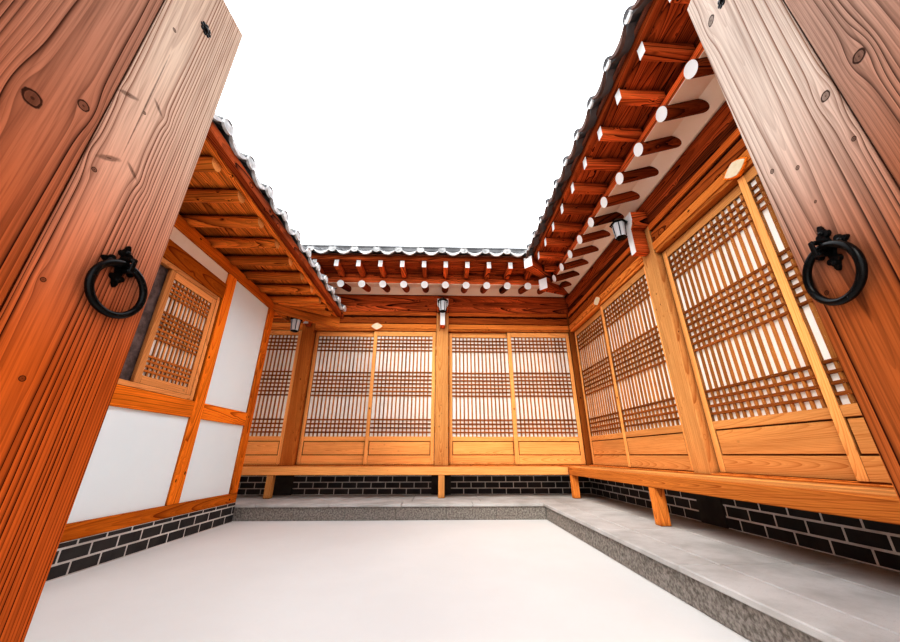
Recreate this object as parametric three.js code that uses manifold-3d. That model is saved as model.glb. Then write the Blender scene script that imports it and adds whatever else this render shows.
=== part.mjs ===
// A courtyard hanok: an L-shaped main house with sliding lattice doors, a lower
// wing with a hipped roof, and a small roofed gate between the two wings.
// Millimetres, +Z up. Drawn from the court: x runs right along the back wing,
// y runs away from the gate, and x = y = 0 is the front of the middle post.
import * as THREE from 'three';
import { ConvexGeometry } from 'three/addons/geometries/ConvexGeometry.js';
import { mergeVertices } from 'three/addons/utils/BufferGeometryUtils.js';
import Module from 'manifold-3d';

const wasm = await Module();
wasm.setup();

// Driving dimensions
const GAP = 0.3;                 // hairline between pieces that touch
const CLEAR = 6;                 // running gap of moving pieces
const POST = 220;                // square posts
const BAY = 2400;                // post to post, centre lines, back wing
const BACK_DEPTH = 3000;         // back wing, outside the posts
const RIGHT_DEPTH = 3200;        // right wing, outside the posts
const COURT_X = 2330;            // court face of the right wing
const WEST_X = -2 * BAY - POST / 2;   // west end of the back wing
const SOUTH_Y = -6300;           // south end of both wings
const RIGHT_POSTS = [-2510, -4950];   // centre lines of the right wing's posts
const STYLOBATE_TOP = 180;
const STYLOBATE_REACH = 1060;    // stone platform in front of the post faces
const STYLOBATE_SOUTH = -5450;   // where the platform stops short of the gate
const BASE_TOP = 475;            // top of the brick underfloor
const SILL_TOP = 598;
const VERANDA_TOP = 577;
const VERANDA_REACH = 500;
const VERANDA_BEAM = 102;        // height of the front beam
const DECK = 36;
const LEG = 90;
const DOOR_HEAD = 2830;          // underside of the lintel
const LINTEL_TOP = 3120;
const PURLIN_RADIUS = 110;
const PURLIN_SIDES = 12;

// Eaves of the main house, out from the post faces
const BACK_OVERHANG = 1050;
const RIGHT_OVERHANG = 950;
const RAFTER_RADIUS = 62;
const RAFTER_SIDES = 8;
const RAFTER_PITCH = 360;
const RAFTER_INSET = 450;        // rafter ends, in from the roof edge
const RAFTER_TAIL = 450;         // rafters past the post faces, inside the house
const RAFTER_END_Z = 3450;
const RAFTER_SLOPE = 0.32;
const FLYING_WIDTH = 75;
const FLYING_HEIGHT = 120;
const FLYING_INSET = 110;        // flying rafter ends, in from the roof edge
const FLYING_BOTTOM = 3590;
const ROOF_EDGE_Z = 3830;        // top of the clay bed at the roof edge
const ROOF_EDGE = 30;            // thickness of the bed at the roof edge
const ROOF_SLOPE = 0.42;         // at the roof edge
const ROOF_CURVE = 0.0000588;    // the slope grows towards the ridge
const ROOF_THICK = 150;
const ROOF_FACETS = 6;
const GABLE_REACH = 450;         // roof past the gable walls
const RIDGE_WIDTH = 260;
const RIDGE_HEIGHT = 330;
const VALLEY_WIDTH = 150;
const BARGE_INSET = 40;
const BARGE_DEPTH = 330;
const BARGE_THICK = 36;

// Sliding doors
const DOOR_THICK = 38;
const TRACKS = [34, 34 + DOOR_THICK + CLEAR];   // outer face of each track
const TRACK_RAIL = 14;
const DOOR_OVERLAP = 60;
const STILE = 62;
const PANEL_LEVEL = [735, 950];
const LATTICE_LEVEL = [1020, 2735];

// Beam ends over the court's posts, with a lantern before some of them
const HEAD = { half: 100, reach: 160, level: [3185, 3400] };
const BRACKET = { half: 43, reach: 158, level: [2855, 3195] };
const LANTERN_RADIUS = 80;
const LANTERN_GLASS = 210;
const LANTERN_CAP = 70;
const LANTERN_OUT = 104;         // from a beam end to the lantern's middle
const LANTERN_FOOT = 3085;
const EAVE_LANTERN = [-2400, -540];

// The lower wing
const LEFT_X = -2480;            // court face
const LEFT_DEPTH = 2520;
const LEFT_NORTH = -1100;
const LEFT_BASE = 210;
const LEFT_SILL_TOP = 315;
const LEFT_WALL_TOP = 2700;
const LEFT_RAIL = [1082, 1240];
const LEFT_WINDOW = [-3640, -2275];
const LEFT_HEAD = [2370, 2555];
const LEFT_STUDS = [-2175, -3715];
const LEFT_OVERHANG = 770;
const LEFT_EDGE_Z = 3000;        // top of the bed at the roof edge
const LEFT_EDGE = 60;
const LEFT_SLOPE = 0.45;
const LEFT_THICK = 120;
const LEFT_BOARDS = 30;
const LEFT_RAFTER = 90;
const LEFT_RAFTER_INSET = 130;
const WALL = 120;                // plastered wall
const STUD = 150;

// The gate, in its own frame: x along the gate, y inwards
const GATE_CENTRE = [-93, -5792];
const GATE_TURN = -4.4;          // degrees
const GATE_PIVOT = 690;          // from the middle to each pivot
const GATE_POST = 190;
const GATE_DEPTH = [-150, 40];   // posts, out and in of the pivots
const GATE_BEAM = [-160, -42];   // threshold, head and side walls
const GATE_HEAD = 2060;
const GATE_SILL = 110;
const GATE_EAVE_Z = 2330;
const GATE_EAVE = 470;
const GATE_SLOPE = 0.5;
const GATE_WALL_TOP = 2300;
const LEAF_BACK = 28;            // leaf behind its pivot
const LEAF_THICK = 42;
const LEAF_LEVEL = [90, 2040];
const LEFT_LEAF_OPEN = 90;       // degrees
const RIGHT_LEAF_OPEN = 98;
const PIVOT_RADIUS = 20;
const RING_RADIUS = 54;
const RING_ROD = 7;
const RING_SIDES = 16;
const ROD_SIDES = 12;
const EYE_HALF = 5;              // half the width of the eye that holds a ring
const RING_Z = 1055;
const RING_FROM_EDGE = 84;

const colours = {
  pine: [0xb5602a, 0.55, 0], dark_pine: [0x6e2a16, 0.55, 0],
  lattice_door: [0xc8813f, 0.5, 0], white_plaster: [0xe8e4de, 0.9, 0],
  granite: [0xa9a39a, 0.85, 0], brick: [0x3a3634, 0.9, 0],
  roof_tile: [0x4a4846, 0.8, 0], iron: [0x1c1b1a, 0.5, 0.8],
};
const materials = Object.fromEntries(Object.entries(colours).map(([name, [color, roughness, metalness]]) =>
  [name, new THREE.MeshStandardMaterial({ name, color, roughness, metalness })]));

const house = new THREE.Group();
const court = new THREE.Group();
house.add(court);

function add(name, geometry, material, parent = court) {
  const mesh = new THREE.Mesh(geometry, materials[material]);
  mesh.name = name;
  parent.add(mesh);
  return mesh;
}

// Shapes
function box(x0, x1, y0, y1, z0, z1) {
  const [a, b, c] = [[x0, x1], [y0, y1], [z0, z1]].map(pair => [Math.min(...pair), Math.max(...pair)]);
  const solid = new THREE.BoxGeometry(a[1] - a[0], b[1] - b[0], c[1] - c[0]);
  return solid.translate((a[0] + a[1]) / 2, (b[0] + b[1]) / 2, (c[0] + c[1]) / 2);
}

// A maker of boxes for a wall: along it, in from its outer face, and up
function wallBox(axis, outer, inward) {
  return (along0, along1, in0, in1, z0, z1) => {
    const across = [outer + inward * in0, outer + inward * in1];
    return axis === 'x' ? box(along0, along1, ...across, z0, z1) : box(...across, along0, along1, z0, z1);
  };
}

function positionsOnly(geometry) {
  const bare = geometry.clone();
  bare.deleteAttribute('normal');
  bare.deleteAttribute('uv');
  return mergeVertices(bare, 1e-3);
}

function toSolid(geometry) {
  const bare = positionsOnly(geometry);
  return new wasm.Manifold(new wasm.Mesh({
    numProp: 3,
    vertProperties: new Float32Array(bare.attributes.position.array),
    triVerts: new Uint32Array(bare.index.array),
  }));
}

function toGeometry(solid) {
  const mesh = solid.getMesh();
  const geometry = new THREE.BufferGeometry();
  geometry.setAttribute('position', new THREE.BufferAttribute(mesh.vertProperties, 3));
  geometry.setIndex(new THREE.BufferAttribute(mesh.triVerts, 1));
  return geometry;
}

function fuse(geometries, holes = []) {
  const whole = geometries.map(toSolid).reduce((a, b) => a.add(b));
  return toGeometry(holes.map(toSolid).reduce((a, b) => a.subtract(b), whole));
}

// Faces are turned outwards where a mapping has turned them in
function outward(geometry) {
  const bare = positionsOnly(geometry);
  const corner = i => new THREE.Vector3().fromBufferAttribute(bare.attributes.position, bare.index.getX(i));
  let volume = 0;
  for (let i = 0; i < bare.index.count; i += 3) {
    volume += corner(i).dot(corner(i + 1).cross(corner(i + 2)));
  }
  if (volume < 0) bare.index.array.reverse();
  return bare;
}

// An outline of [across, z] points drawn out along x or y. Each end is a
// distance, or a function of the across coordinate where the end is mitred.
function prism(axis, outline, start, end) {
  const shape = new THREE.Shape(outline.map(([a, z]) => new THREE.Vector2(a, z)));
  const geometry = new THREE.ExtrudeGeometry(shape, { depth: 1, steps: 1, bevelEnabled: false });
  const place = geometry.attributes.position;
  for (let i = 0; i < place.count; i++) {
    const across = place.getX(i);
    const z = place.getY(i);
    const limit = place.getZ(i) < 0.5 ? start : end;
    const along = typeof limit === 'function' ? limit(across) : limit;
    if (axis === 'x') place.setXYZ(i, along, across, z);
    else place.setXYZ(i, across, along, z);
  }
  return outward(geometry);
}

function circle(across, z, radius, sides) {
  return Array.from({ length: sides }, (_, i) => {
    const turn = (i + 0.5) / sides * 2 * Math.PI;
    return [across + radius * Math.cos(turn), z + radius * Math.sin(turn)];
  });
}

function steps(first, last, pitch) {
  const count = Math.max(1, Math.round(Math.abs(last - first) / pitch));
  return Array.from({ length: count + 1 }, (_, i) => first + (last - first) * i / count);
}

const other = axis => (axis === 'x' ? 'y' : 'x');

// Places worked out from the driving dimensions
const HALF_SPAN = BACK_DEPTH / 2 + BACK_OVERHANG;
const EAST_X = COURT_X + RIGHT_DEPTH;
const RIDGE_Y = BACK_DEPTH / 2;
const RIDGE_X = COURT_X + RIGHT_DEPTH / 2;
const MITRE = RIDGE_X - RIDGE_Y;          // x - y along the valley and the hip
const CORNER_POST = COURT_X - 10 + POST / 2;
const BACK_POSTS = [-2 * BAY, -BAY, 0, CORNER_POST];
const ROOF_WEST = WEST_X - GABLE_REACH;
const ROOF_SOUTH = SOUTH_Y - GABLE_REACH;
const LEFT_WEST = LEFT_X - LEFT_DEPTH;
const LEFT_MIDDLE = LEFT_X - LEFT_DEPTH / 2;
const LEFT_HALF = LEFT_DEPTH / 2 + LEFT_OVERHANG;
const LEFT_ROOF_NORTH = LEFT_NORTH + LEFT_OVERHANG;
const LEFT_ROOF_SOUTH = SOUTH_Y - LEFT_OVERHANG;
const LEFT_SOFFIT = LEFT_EDGE_Z - LEFT_EDGE - GAP;
const LEFT_PLATE_TOP = LEFT_SOFFIT - 20 - LEFT_RAFTER - GAP;

function roofTop(d) {
  return ROOF_EDGE_Z + ROOF_SLOPE * d + ROOF_CURVE * d * d;
}

// Height of a purlin's centre, so that the rafters rest on it
function purlinZ(overhang) {
  const lean = Math.atan(RAFTER_SLOPE);
  const rise = RAFTER_SLOPE * (overhang - RAFTER_INSET + POST / 2);
  const underside = RAFTER_RADIUS * Math.cos(Math.PI / RAFTER_SIDES);
  const seat = PURLIN_RADIUS * Math.cos(lean - Math.PI / PURLIN_SIDES) + GAP;
  return RAFTER_END_Z + rise - underside - seat / Math.cos(lean);
}

// Groundwork
function slab(corners, z0, z1) {
  const outline = new THREE.Shape(corners.map(([x, y]) => new THREE.Vector2(x, y)));
  const geometry = new THREE.ExtrudeGeometry(outline, { depth: z1 - z0, bevelEnabled: false });
  return geometry.translate(0, 0, z0);
}

function stylobate() {
  const front = COURT_X - STYLOBATE_REACH;
  return slab([[WEST_X, -STYLOBATE_REACH], [front, -STYLOBATE_REACH], [front, STYLOBATE_SOUTH],
    [COURT_X, STYLOBATE_SOUTH], [COURT_X, SOUTH_Y], [EAST_X, SOUTH_Y], [EAST_X, BACK_DEPTH],
    [WEST_X, BACK_DEPTH]], 0, STYLOBATE_TOP);
}

function mainBase() {
  return slab([[WEST_X, 0], [COURT_X, 0], [COURT_X, SOUTH_Y], [EAST_X, SOUTH_Y],
    [EAST_X, BACK_DEPTH], [WEST_X, BACK_DEPTH]], STYLOBATE_TOP + GAP, BASE_TOP);
}

// Veranda decks: boards on joists, a front beam and short legs
function veranda(axis, face, out, start, end, legs) {
  const bar = wallBox(axis, face, out);
  const front = VERANDA_REACH;
  const beamBottom = VERANDA_TOP - VERANDA_BEAM;
  const pieces = [bar(start, end, GAP, front, VERANDA_TOP - DECK, VERANDA_TOP),
    bar(start, end, front - LEG, front, beamBottom, VERANDA_TOP)];
  for (const p of legs) {
    const [p0, p1] = [p - LEG / 2, p + LEG / 2];
    pieces.push(bar(p0, p1, front - LEG - 5, front - 5, STYLOBATE_TOP + GAP, VERANDA_TOP - 10));
    pieces.push(bar(p0 + 10, p1 - 10, GAP, front - 20, VERANDA_TOP - 90, VERANDA_TOP - 10));
  }
  return fuse(pieces);
}

function backVeranda() {
  return veranda('x', 0, -1, WEST_X, COURT_X - VERANDA_REACH - GAP, BACK_POSTS.slice(0, 3));
}

function rightVeranda() {
  const end = RIGHT_POSTS[1] - POST / 2;
  return veranda('y', COURT_X, -1, end, -GAP, [-VERANDA_REACH - LEG / 2, ...RIGHT_POSTS]);
}

// Timber frames around the court: sill with door rails, posts, lintel, purlin
function courtFrame(axis, face, overhang, posts, start, end, brackets) {
  const bar = wallBox(axis, face, 1);
  const purlin = purlinZ(overhang);
  const pieces = [bar(start, end, 0, POST, BASE_TOP + GAP, SILL_TOP - 8),
    bar(start, end, 0, POST, DOOR_HEAD, DOOR_HEAD + 130),
    bar(start, end, 20, POST - 20, DOOR_HEAD + 120, LINTEL_TOP),
    bar(start, end, 50, POST - 50, LINTEL_TOP - 10, purlin),
    prism(axis, circle(face + POST / 2, purlin, PURLIN_RADIUS, PURLIN_SIDES), start, end)];
  for (const track of TRACKS) {
    const middle = track + DOOR_THICK / 2;
    pieces.push(bar(start, end, middle - TRACK_RAIL / 2, middle + TRACK_RAIL / 2, SILL_TOP - 10, SILL_TOP));
  }
  for (const p of posts) {
    pieces.push(bar(p - POST / 2, p + POST / 2, 0, POST, SILL_TOP - 20, DOOR_HEAD + 20));
  }
  for (const p of brackets) {
    for (const { half, reach, level } of [HEAD, BRACKET]) {
      pieces.push(bar(p - half, p + half, -reach, 60, ...level));
    }
  }
  return pieces;
}

function backCourtFrame() {
  const brackets = [-BAY, 0];
  return fuse(courtFrame('x', 0, BACK_OVERHANG, BACK_POSTS, WEST_X, CORNER_POST + POST / 2, brackets));
}

function rightCourtFrame() {
  const last = SOUTH_Y + POST / 2;
  const pieces = courtFrame('y', COURT_X, RIGHT_OVERHANG, [...RIGHT_POSTS, last], SOUTH_Y, -GAP, RIGHT_POSTS);
  const plaster = wallBox('y', COURT_X, 1);
  pieces.push(plaster(RIGHT_POSTS[1], last, 50, POST - 50, SILL_TOP - 20, DOOR_HEAD + 10));
  return fuse(pieces);
}

// Lantern: a six-sided glass under a cap, drawn with its foot on z = 0
function lantern() {
  const middle = LANTERN_GLASS / 2;
  const glass = new THREE.CylinderGeometry(LANTERN_RADIUS, LANTERN_RADIUS * 0.8, LANTERN_GLASS, 6);
  const cap = new THREE.CylinderGeometry(20, LANTERN_RADIUS + 15, LANTERN_CAP, 6);
  return [glass.rotateX(Math.PI / 2).translate(0, 0, middle),
    cap.rotateX(Math.PI / 2).translate(0, 0, LANTERN_GLASS + LANTERN_CAP / 2 - 2)];
}

// On an arm from a beam end, which lies towards (sx, sy)
function postLantern(x, y, sx, sy) {
  const arm = box(0, LANTERN_OUT - GAP, -12, 12, LANTERN_GLASS + 30, LANTERN_GLASS + 54);
  return fuse([...lantern(), arm.rotateZ(Math.atan2(sy, sx))]).translate(x, y, LANTERN_FOOT);
}

// Hung from the lower wing's eave
function eaveLantern() {
  const top = LEFT_SOFFIT - LEFT_BOARDS - GAP;
  const foot = top - LANTERN_GLASS - LANTERN_CAP - 40;
  const height = top - foot;
  const stem = box(-9, 9, -9, 9, LANTERN_GLASS + 30, height);
  const rose = box(-35, 35, -35, 35, height - 12, height);
  return fuse([...lantern(), stem, rose]).translate(...EAVE_LANTERN, foot);
}

function lanterns() {
  const out = HEAD.reach + LANTERN_OUT;
  add('lantern_back', postLantern(0, -out, 0, 1), 'iron');
  add('lantern_right', postLantern(COURT_X - out, RIGHT_POSTS[0], 1, 0), 'iron');
  add('lantern_left', eaveLantern(), 'iron');
}

// Timber-framed plaster walls: a slab with posts, sill, rails and head in relief
const WINDOW_LEVEL = [1380, 2400];
const FRAME_TOP = LINTEL_TOP + 200;

function framedWall(axis, outer, inward, posts, start, end) {
  const bar = wallBox(axis, outer, inward);
  const pieces = [bar(start, end, 50, 50 + WALL, BASE_TOP + GAP, FRAME_TOP),
    bar(start, end, 10, POST - 10, BASE_TOP + GAP, BASE_TOP + 140),
    bar(start, end, 20, POST - 20, WINDOW_LEVEL[0] - 140, WINDOW_LEVEL[0]),
    bar(start, end, 20, POST - 20, WINDOW_LEVEL[1], WINDOW_LEVEL[1] + 120),
    bar(start, end, 20, POST - 20, FRAME_TOP - 160, FRAME_TOP)];
  for (const p of posts) {
    const [s, e] = [Math.max(start, p - POST / 2), Math.min(end, p + POST / 2)];
    pieces.push(bar(s, e, 0, POST, BASE_TOP + GAP, FRAME_TOP));
  }
  return pieces;
}

function purlinWall(axis, outer, overhang, posts, [start, end], purlinEnd, windows) {
  const inward = -1;
  const purlin = purlinZ(overhang);
  const bar = wallBox(axis, outer, inward);
  const pieces = framedWall(axis, outer, inward, posts, start, end);
  pieces.push(bar(start, end - POST - GAP, 50, 50 + WALL, FRAME_TOP - 10, purlin));
  pieces.push(prism(axis, circle(outer + inward * POST / 2, purlin, PURLIN_RADIUS, PURLIN_SIDES), start, purlinEnd));
  return fuse(pieces, windows.map(([s, e]) => bar(s, e, -50, POST + 50, ...WINDOW_LEVEL)));
}

// Lattice window: a frame with two recessed leaves
function windowSash(axis, outer, inward, [start, end], [z0, z1], depth) {
  const bar = wallBox(axis, outer, inward);
  const middle = (start + end) / 2;
  const panes = [[start + 70, middle - 40], [middle + 40, end - 70]];
  return fuse([bar(start + GAP, end - GAP, depth, depth + 50, z0 + GAP, z1 - GAP)],
    panes.map(([s, e]) => bar(s, e, depth - 10, depth + 20, z0 + 90, z1 - 90)));
}

const REAR_WINDOWS = [[-1900, -500], [500, 1900]];
const OUTER_WINDOWS = [[-2000, -600], [-4450, -3050]];

function gableWall(axis, outer, inward, start, end) {
  const pieces = framedWall(axis, outer, inward, [start + POST / 2, end - POST / 2], start, end);
  const middle = (start + end) / 2;
  const inset = 260;
  const under = d => roofTop(d) - ROOF_THICK - 20;
  const shoulder = under(HALF_SPAN - (end - start) / 2 + inset);
  const outline = [[start + inset, FRAME_TOP - 10], [end - inset, FRAME_TOP - 10],
    [end - inset, shoulder], [middle, under(HALF_SPAN)], [start + inset, shoulder]];
  const face = outer + inward * 50;
  pieces.push(prism(other(axis), outline, face, face + inward * WALL));
  return fuse(pieces);
}

// Eaves: round rafters under plaster, an eave board, then square flying
// rafters under boards. side is the direction away from the wall, and cut
// gives the range of o, the distance out, that the mitres leave at a place.
function eave(axis, face, side, overhang, start, end, places, cut) {
  const rafterEnd = overhang - RAFTER_INSET;
  const flyingEnd = overhang - FLYING_INSET;
  const boardBack = rafterEnd - 110;
  const flyingTop = FLYING_BOTTOM + FLYING_HEIGHT;
  const centre = o => RAFTER_END_Z + RAFTER_SLOPE * (rafterEnd - o);
  const board = points => prism(axis, points.map(([o, z]) => [face + side * o, z]), start, end);
  const pieces = [
    board([[rafterEnd - 30, centre(rafterEnd - 30) + 22], [-RAFTER_TAIL, centre(-RAFTER_TAIL) + 22],
      [-RAFTER_TAIL, centre(-RAFTER_TAIL) + 82], [rafterEnd - 30, centre(rafterEnd - 30) + 82]]),
    board([[rafterEnd - 30, RAFTER_END_Z + 34], [boardBack, RAFTER_END_Z + 70],
      [boardBack, flyingTop - 5], [boardBack + 30, flyingTop - 5], [rafterEnd - 30, FLYING_BOTTOM]]),
    board([[flyingEnd - 25, flyingTop - 15], [boardBack, flyingTop - 15],
      [boardBack, flyingTop + 15], [flyingEnd - 25, flyingTop + 15]]),
    board([[flyingEnd + 25, flyingTop], [flyingEnd - 60, flyingTop],
      [flyingEnd - 60, ROOF_EDGE_Z - ROOF_EDGE], [flyingEnd + 25, ROOF_EDGE_Z - ROOF_EDGE]]),
  ];
  const bar = wallBox(axis, face, side);
  for (const p of places) {
    const [near, far] = cut(p, RAFTER_RADIUS);
    const range = [Math.max(5 - RAFTER_TAIL, near), Math.min(rafterEnd, far)];
    if (range[1] - range[0] > 150) pieces.push(roundRafter(axis, face, side, p, range, centre));
    const [flyingNear, flyingFar] = cut(p, FLYING_WIDTH / 2);
    const reach = [Math.max(rafterEnd - 60, flyingNear), Math.min(flyingEnd, flyingFar)];
    if (reach[1] - reach[0] > 80) {
      pieces.push(bar(p - FLYING_WIDTH / 2, p + FLYING_WIDTH / 2, ...reach, FLYING_BOTTOM, flyingTop));
    }
  }
  return fuse(pieces);
}

function roundRafter(axis, face, side, p, [from, to], centre) {
  const rafter = prism(other(axis), circle(p, 0, RAFTER_RADIUS, RAFTER_SIDES), face + side * from, face + side * to);
  const place = rafter.attributes.position;
  for (let i = 0; i < place.count; i++) {
    const across = axis === 'x' ? place.getY(i) : place.getX(i);
    place.setZ(i, place.getZ(i) + centre((across - face) * side));
  }
  return rafter;
}

// Mitred ends: eaves stop clear of the valley rafter, roofs meet on the line
const VALLEY_GAP = VALLEY_WIDTH / Math.SQRT2 + GAP;

function eaves() {
  const backPlaces = steps(ROOF_WEST + 60, COURT_X + 200, RAFTER_PITCH);
  const rearPlaces = steps(ROOF_WEST + 60, EAST_X + RIGHT_OVERHANG - 100, RAFTER_PITCH);
  const rightPlaces = steps(ROOF_SOUTH + 60, 200, RAFTER_PITCH);
  const outerPlaces = steps(ROOF_SOUTH + 60, BACK_DEPTH + BACK_OVERHANG - 100, RAFTER_PITCH);
  const list = [
    ['back_court', eave('x', 0, -1, BACK_OVERHANG, ROOF_WEST, y => y + MITRE - VALLEY_GAP, backPlaces,
      (p, r) => [-Infinity, MITRE - VALLEY_GAP - r - p])],
    ['back_rear', eave('x', BACK_DEPTH, 1, BACK_OVERHANG, ROOF_WEST, y => y + MITRE - GAP, rearPlaces,
      (p, r) => [p + r + GAP - MITRE - BACK_DEPTH, Infinity])],
    ['right_court', eave('y', COURT_X, -1, RIGHT_OVERHANG, ROOF_SOUTH, x => x - MITRE - VALLEY_GAP, rightPlaces,
      (p, r) => [-Infinity, COURT_X - MITRE - VALLEY_GAP - r - p])],
    ['right_outer', eave('y', EAST_X, 1, RIGHT_OVERHANG, ROOF_SOUTH, x => x - MITRE - GAP, outerPlaces,
      (p, r) => [p + r + GAP + MITRE - EAST_X, Infinity])],
  ];
  for (const [name, geometry] of list) add(`eave_${name}`, geometry, 'dark_pine');
}

// Two stacked rafters under the valley, square, at 45 degrees, notched over
// the two purlins that carry them
function valleyRafter() {
  const half = VALLEY_WIDTH / 2;
  const lower = prism('y', [[-250, 3659], [1000, 3334], [1000, 3524], [-250, 3849]], -half, half);
  const upper = prism('y', [[520, 3640], [1440, 3580], [1440, 3740], [520, 3800]], -half, half);
  const turned = [lower, upper].map(beam => beam.rotateZ(-3 * Math.PI / 4).translate(MITRE, 0, 0));
  const notch = PURLIN_RADIUS + GAP / Math.cos(Math.PI / PURLIN_SIDES);
  return fuse(turned, [prism('x', circle(POST / 2, purlinZ(BACK_OVERHANG), notch, PURLIN_SIDES), 0, COURT_X + 2 * POST),
    prism('y', circle(COURT_X + POST / 2, purlinZ(RIGHT_OVERHANG), notch, PURLIN_SIDES), -2 * POST, POST)]);
}

// One slope of the roof: a clay and tile slab with a curved top
function roofSlope(axis, eaveAt, inward, start, end) {
  const at = d => eaveAt + inward * d;
  const ridge = HALF_SPAN - GAP / 2;
  const bottom = ROOF_EDGE_Z - ROOF_EDGE + GAP;
  const top = steps(0, ridge, ridge / ROOF_FACETS).map(d => [at(d), roofTop(d)]);
  const low = [ridge, 1400].map(d => [at(d), roofTop(d) - ROOF_THICK]);
  return prism(axis, [...top, ...low, [at(230), bottom], [at(0), bottom]], start, end);
}

function mainRoofs() {
  const toX = y => y + MITRE - GAP / 2;
  const toY = x => x - MITRE - GAP / 2;
  return {
    roof_back_court: roofSlope('x', -BACK_OVERHANG, 1, ROOF_WEST, toX),
    roof_back_rear: roofSlope('x', BACK_DEPTH + BACK_OVERHANG, -1, ROOF_WEST, toX),
    roof_right_court: roofSlope('y', COURT_X - RIGHT_OVERHANG, 1, ROOF_SOUTH, toY),
    roof_right_outer: roofSlope('y', EAST_X + RIGHT_OVERHANG, -1, ROOF_SOUTH, toY),
  };
}

// A pair of boards over each gable, under the edge of the roof
function bargeboard(axis, middle, at) {
  const rim = HALF_SPAN - BARGE_INSET;
  const line = lift => steps(-rim, rim, HALF_SPAN / ROOF_FACETS).map(a => [middle + a, roofTop(HALF_SPAN - Math.abs(a)) + lift]);
  return prism(axis, [...line(-15), ...line(-BARGE_DEPTH).reverse()], at - GAP - BARGE_THICK, at - GAP);
}

// Ridge of plastered tiles along both wings and down the hip
function ridgeBand(axis, centre, start, end) {
  const half = RIDGE_WIDTH / 2;
  const crest = roofTop(HALF_SPAN) + RIDGE_HEIGHT;
  const outline = [[centre - half, crest - RIDGE_HEIGHT - 200], [centre + half, crest - RIDGE_HEIGHT - 200],
    [centre + half, crest - 80], [centre + half * 0.5, crest],
    [centre - half * 0.5, crest], [centre - half, crest - 80]];
  return prism(axis, outline, start, end);
}

function hipRidge() {
  const stations = steps(0, HALF_SPAN - 90, HALF_SPAN / ROOF_FACETS).map(s => [s * Math.SQRT2, roofTop(HALF_SPAN - s)]);
  const top = stations.map(([s, z]) => [s, z + 200]);
  const low = stations.map(([s, z]) => [s, z - 50]).reverse();
  return prism('y', [...top, ...low], -100, 100).rotateZ(Math.PI / 4).translate(RIDGE_X, RIDGE_Y, 0);
}

// All that lies under one wing's roof, to seat the ridges on it
function underRoof(axis, middle, start, end) {
  const top = steps(0, HALF_SPAN, HALF_SPAN / ROOF_FACETS).map(d => [d - HALF_SPAN, roofTop(d) + GAP]);
  const mirrored = top.slice(0, -1).map(([a, z]) => [-a, z]).reverse();
  const outline = [...top, ...mirrored].map(([a, z]) => [middle + a, z]);
  const floor = ROOF_EDGE_Z - 500;
  return prism(axis, [...outline, [middle + HALF_SPAN, floor], [middle - HALF_SPAN, floor]], start, end);
}

function mainRidge() {
  const bands = [ridgeBand('x', RIDGE_Y, ROOF_WEST, RIDGE_X + RIDGE_WIDTH / 2),
    ridgeBand('y', RIDGE_X, ROOF_SOUTH, RIDGE_Y + RIDGE_WIDTH / 2), hipRidge()];
  return fuse(bands, [underRoof('x', RIDGE_Y, ROOF_WEST - 100, y => y + MITRE + GAP),
    underRoof('y', RIDGE_X, ROOF_SOUTH - 100, x => x - MITRE + GAP)]);
}

// Sliding door leaf: stiles and rails around a lattice pane and a low panel
function doorLeaf(axis, face, start, end, track) {
  const bar = wallBox(axis, face, 1);
  const depth = [track, track + DOOR_THICK];
  const leaf = bar(start, end, ...depth, SILL_TOP + GAP, DOOR_HEAD - CLEAR);
  const recess = ([z0, z1], cut) => bar(start + STILE, end - STILE, track - 5, track + cut, z0, z1);
  return fuse([leaf], [recess(LATTICE_LEVEL, 14), recess(PANEL_LEVEL, 9)]);
}

// Two leaves fill each bay, overlapping at the meeting stiles
const BACK_BAYS = [['end', -2 * BAY + POST / 2, -BAY - POST / 2], ['left', -BAY + POST / 2, -POST / 2],
  ['middle', POST / 2, CORNER_POST - POST / 2]];
const RIGHT_BAYS = [['near_corner', RIGHT_POSTS[0] + POST / 2, 0], ['near_gate', RIGHT_POSTS[1] + POST / 2,
  RIGHT_POSTS[0] - POST / 2]];

function doors(prefix, axis, face, bays, [trackA, trackB]) {
  for (const [name, start, end] of bays) {
    const middle = (start + end) / 2;
    const [low, high] = [start + CLEAR, end - CLEAR];
    add(`door_${prefix}_${name}_a`, doorLeaf(axis, face, low, middle + DOOR_OVERLAP / 2, trackA), 'lattice_door');
    add(`door_${prefix}_${name}_b`, doorLeaf(axis, face, middle - DOOR_OVERLAP / 2, high, trackB), 'lattice_door');
  }
}

// The lower wing's walls, window, eave and hipped roof
function leftCourtWall() {
  const bar = wallBox('y', LEFT_X, -1);
  const [w0, w1] = LEFT_WINDOW;
  const pieces = [bar(SOUTH_Y, LEFT_NORTH, 25, 125, LEFT_BASE + GAP, LEFT_WALL_TOP + 10),
    bar(SOUTH_Y, LEFT_NORTH, 0, STUD, LEFT_BASE + GAP, LEFT_SILL_TOP),
    bar(SOUTH_Y, LEFT_NORTH, 0, STUD, ...LEFT_RAIL),
    bar(w0 - 75, w1 + 30, 0, STUD, ...LEFT_HEAD),
    bar(SOUTH_Y, LEFT_NORTH, 0, STUD, LEFT_WALL_TOP, LEFT_PLATE_TOP)];
  for (const y of [LEFT_NORTH - 75, ...LEFT_STUDS, SOUTH_Y + 75]) {
    pieces.push(bar(y - 75, y + 75, 0, STUD, LEFT_BASE + GAP, LEFT_WALL_TOP + 50));
  }
  return fuse(pieces, [bar(w0, w1, -50, STUD + 50, LEFT_RAIL[1], LEFT_HEAD[0])]);
}

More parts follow.
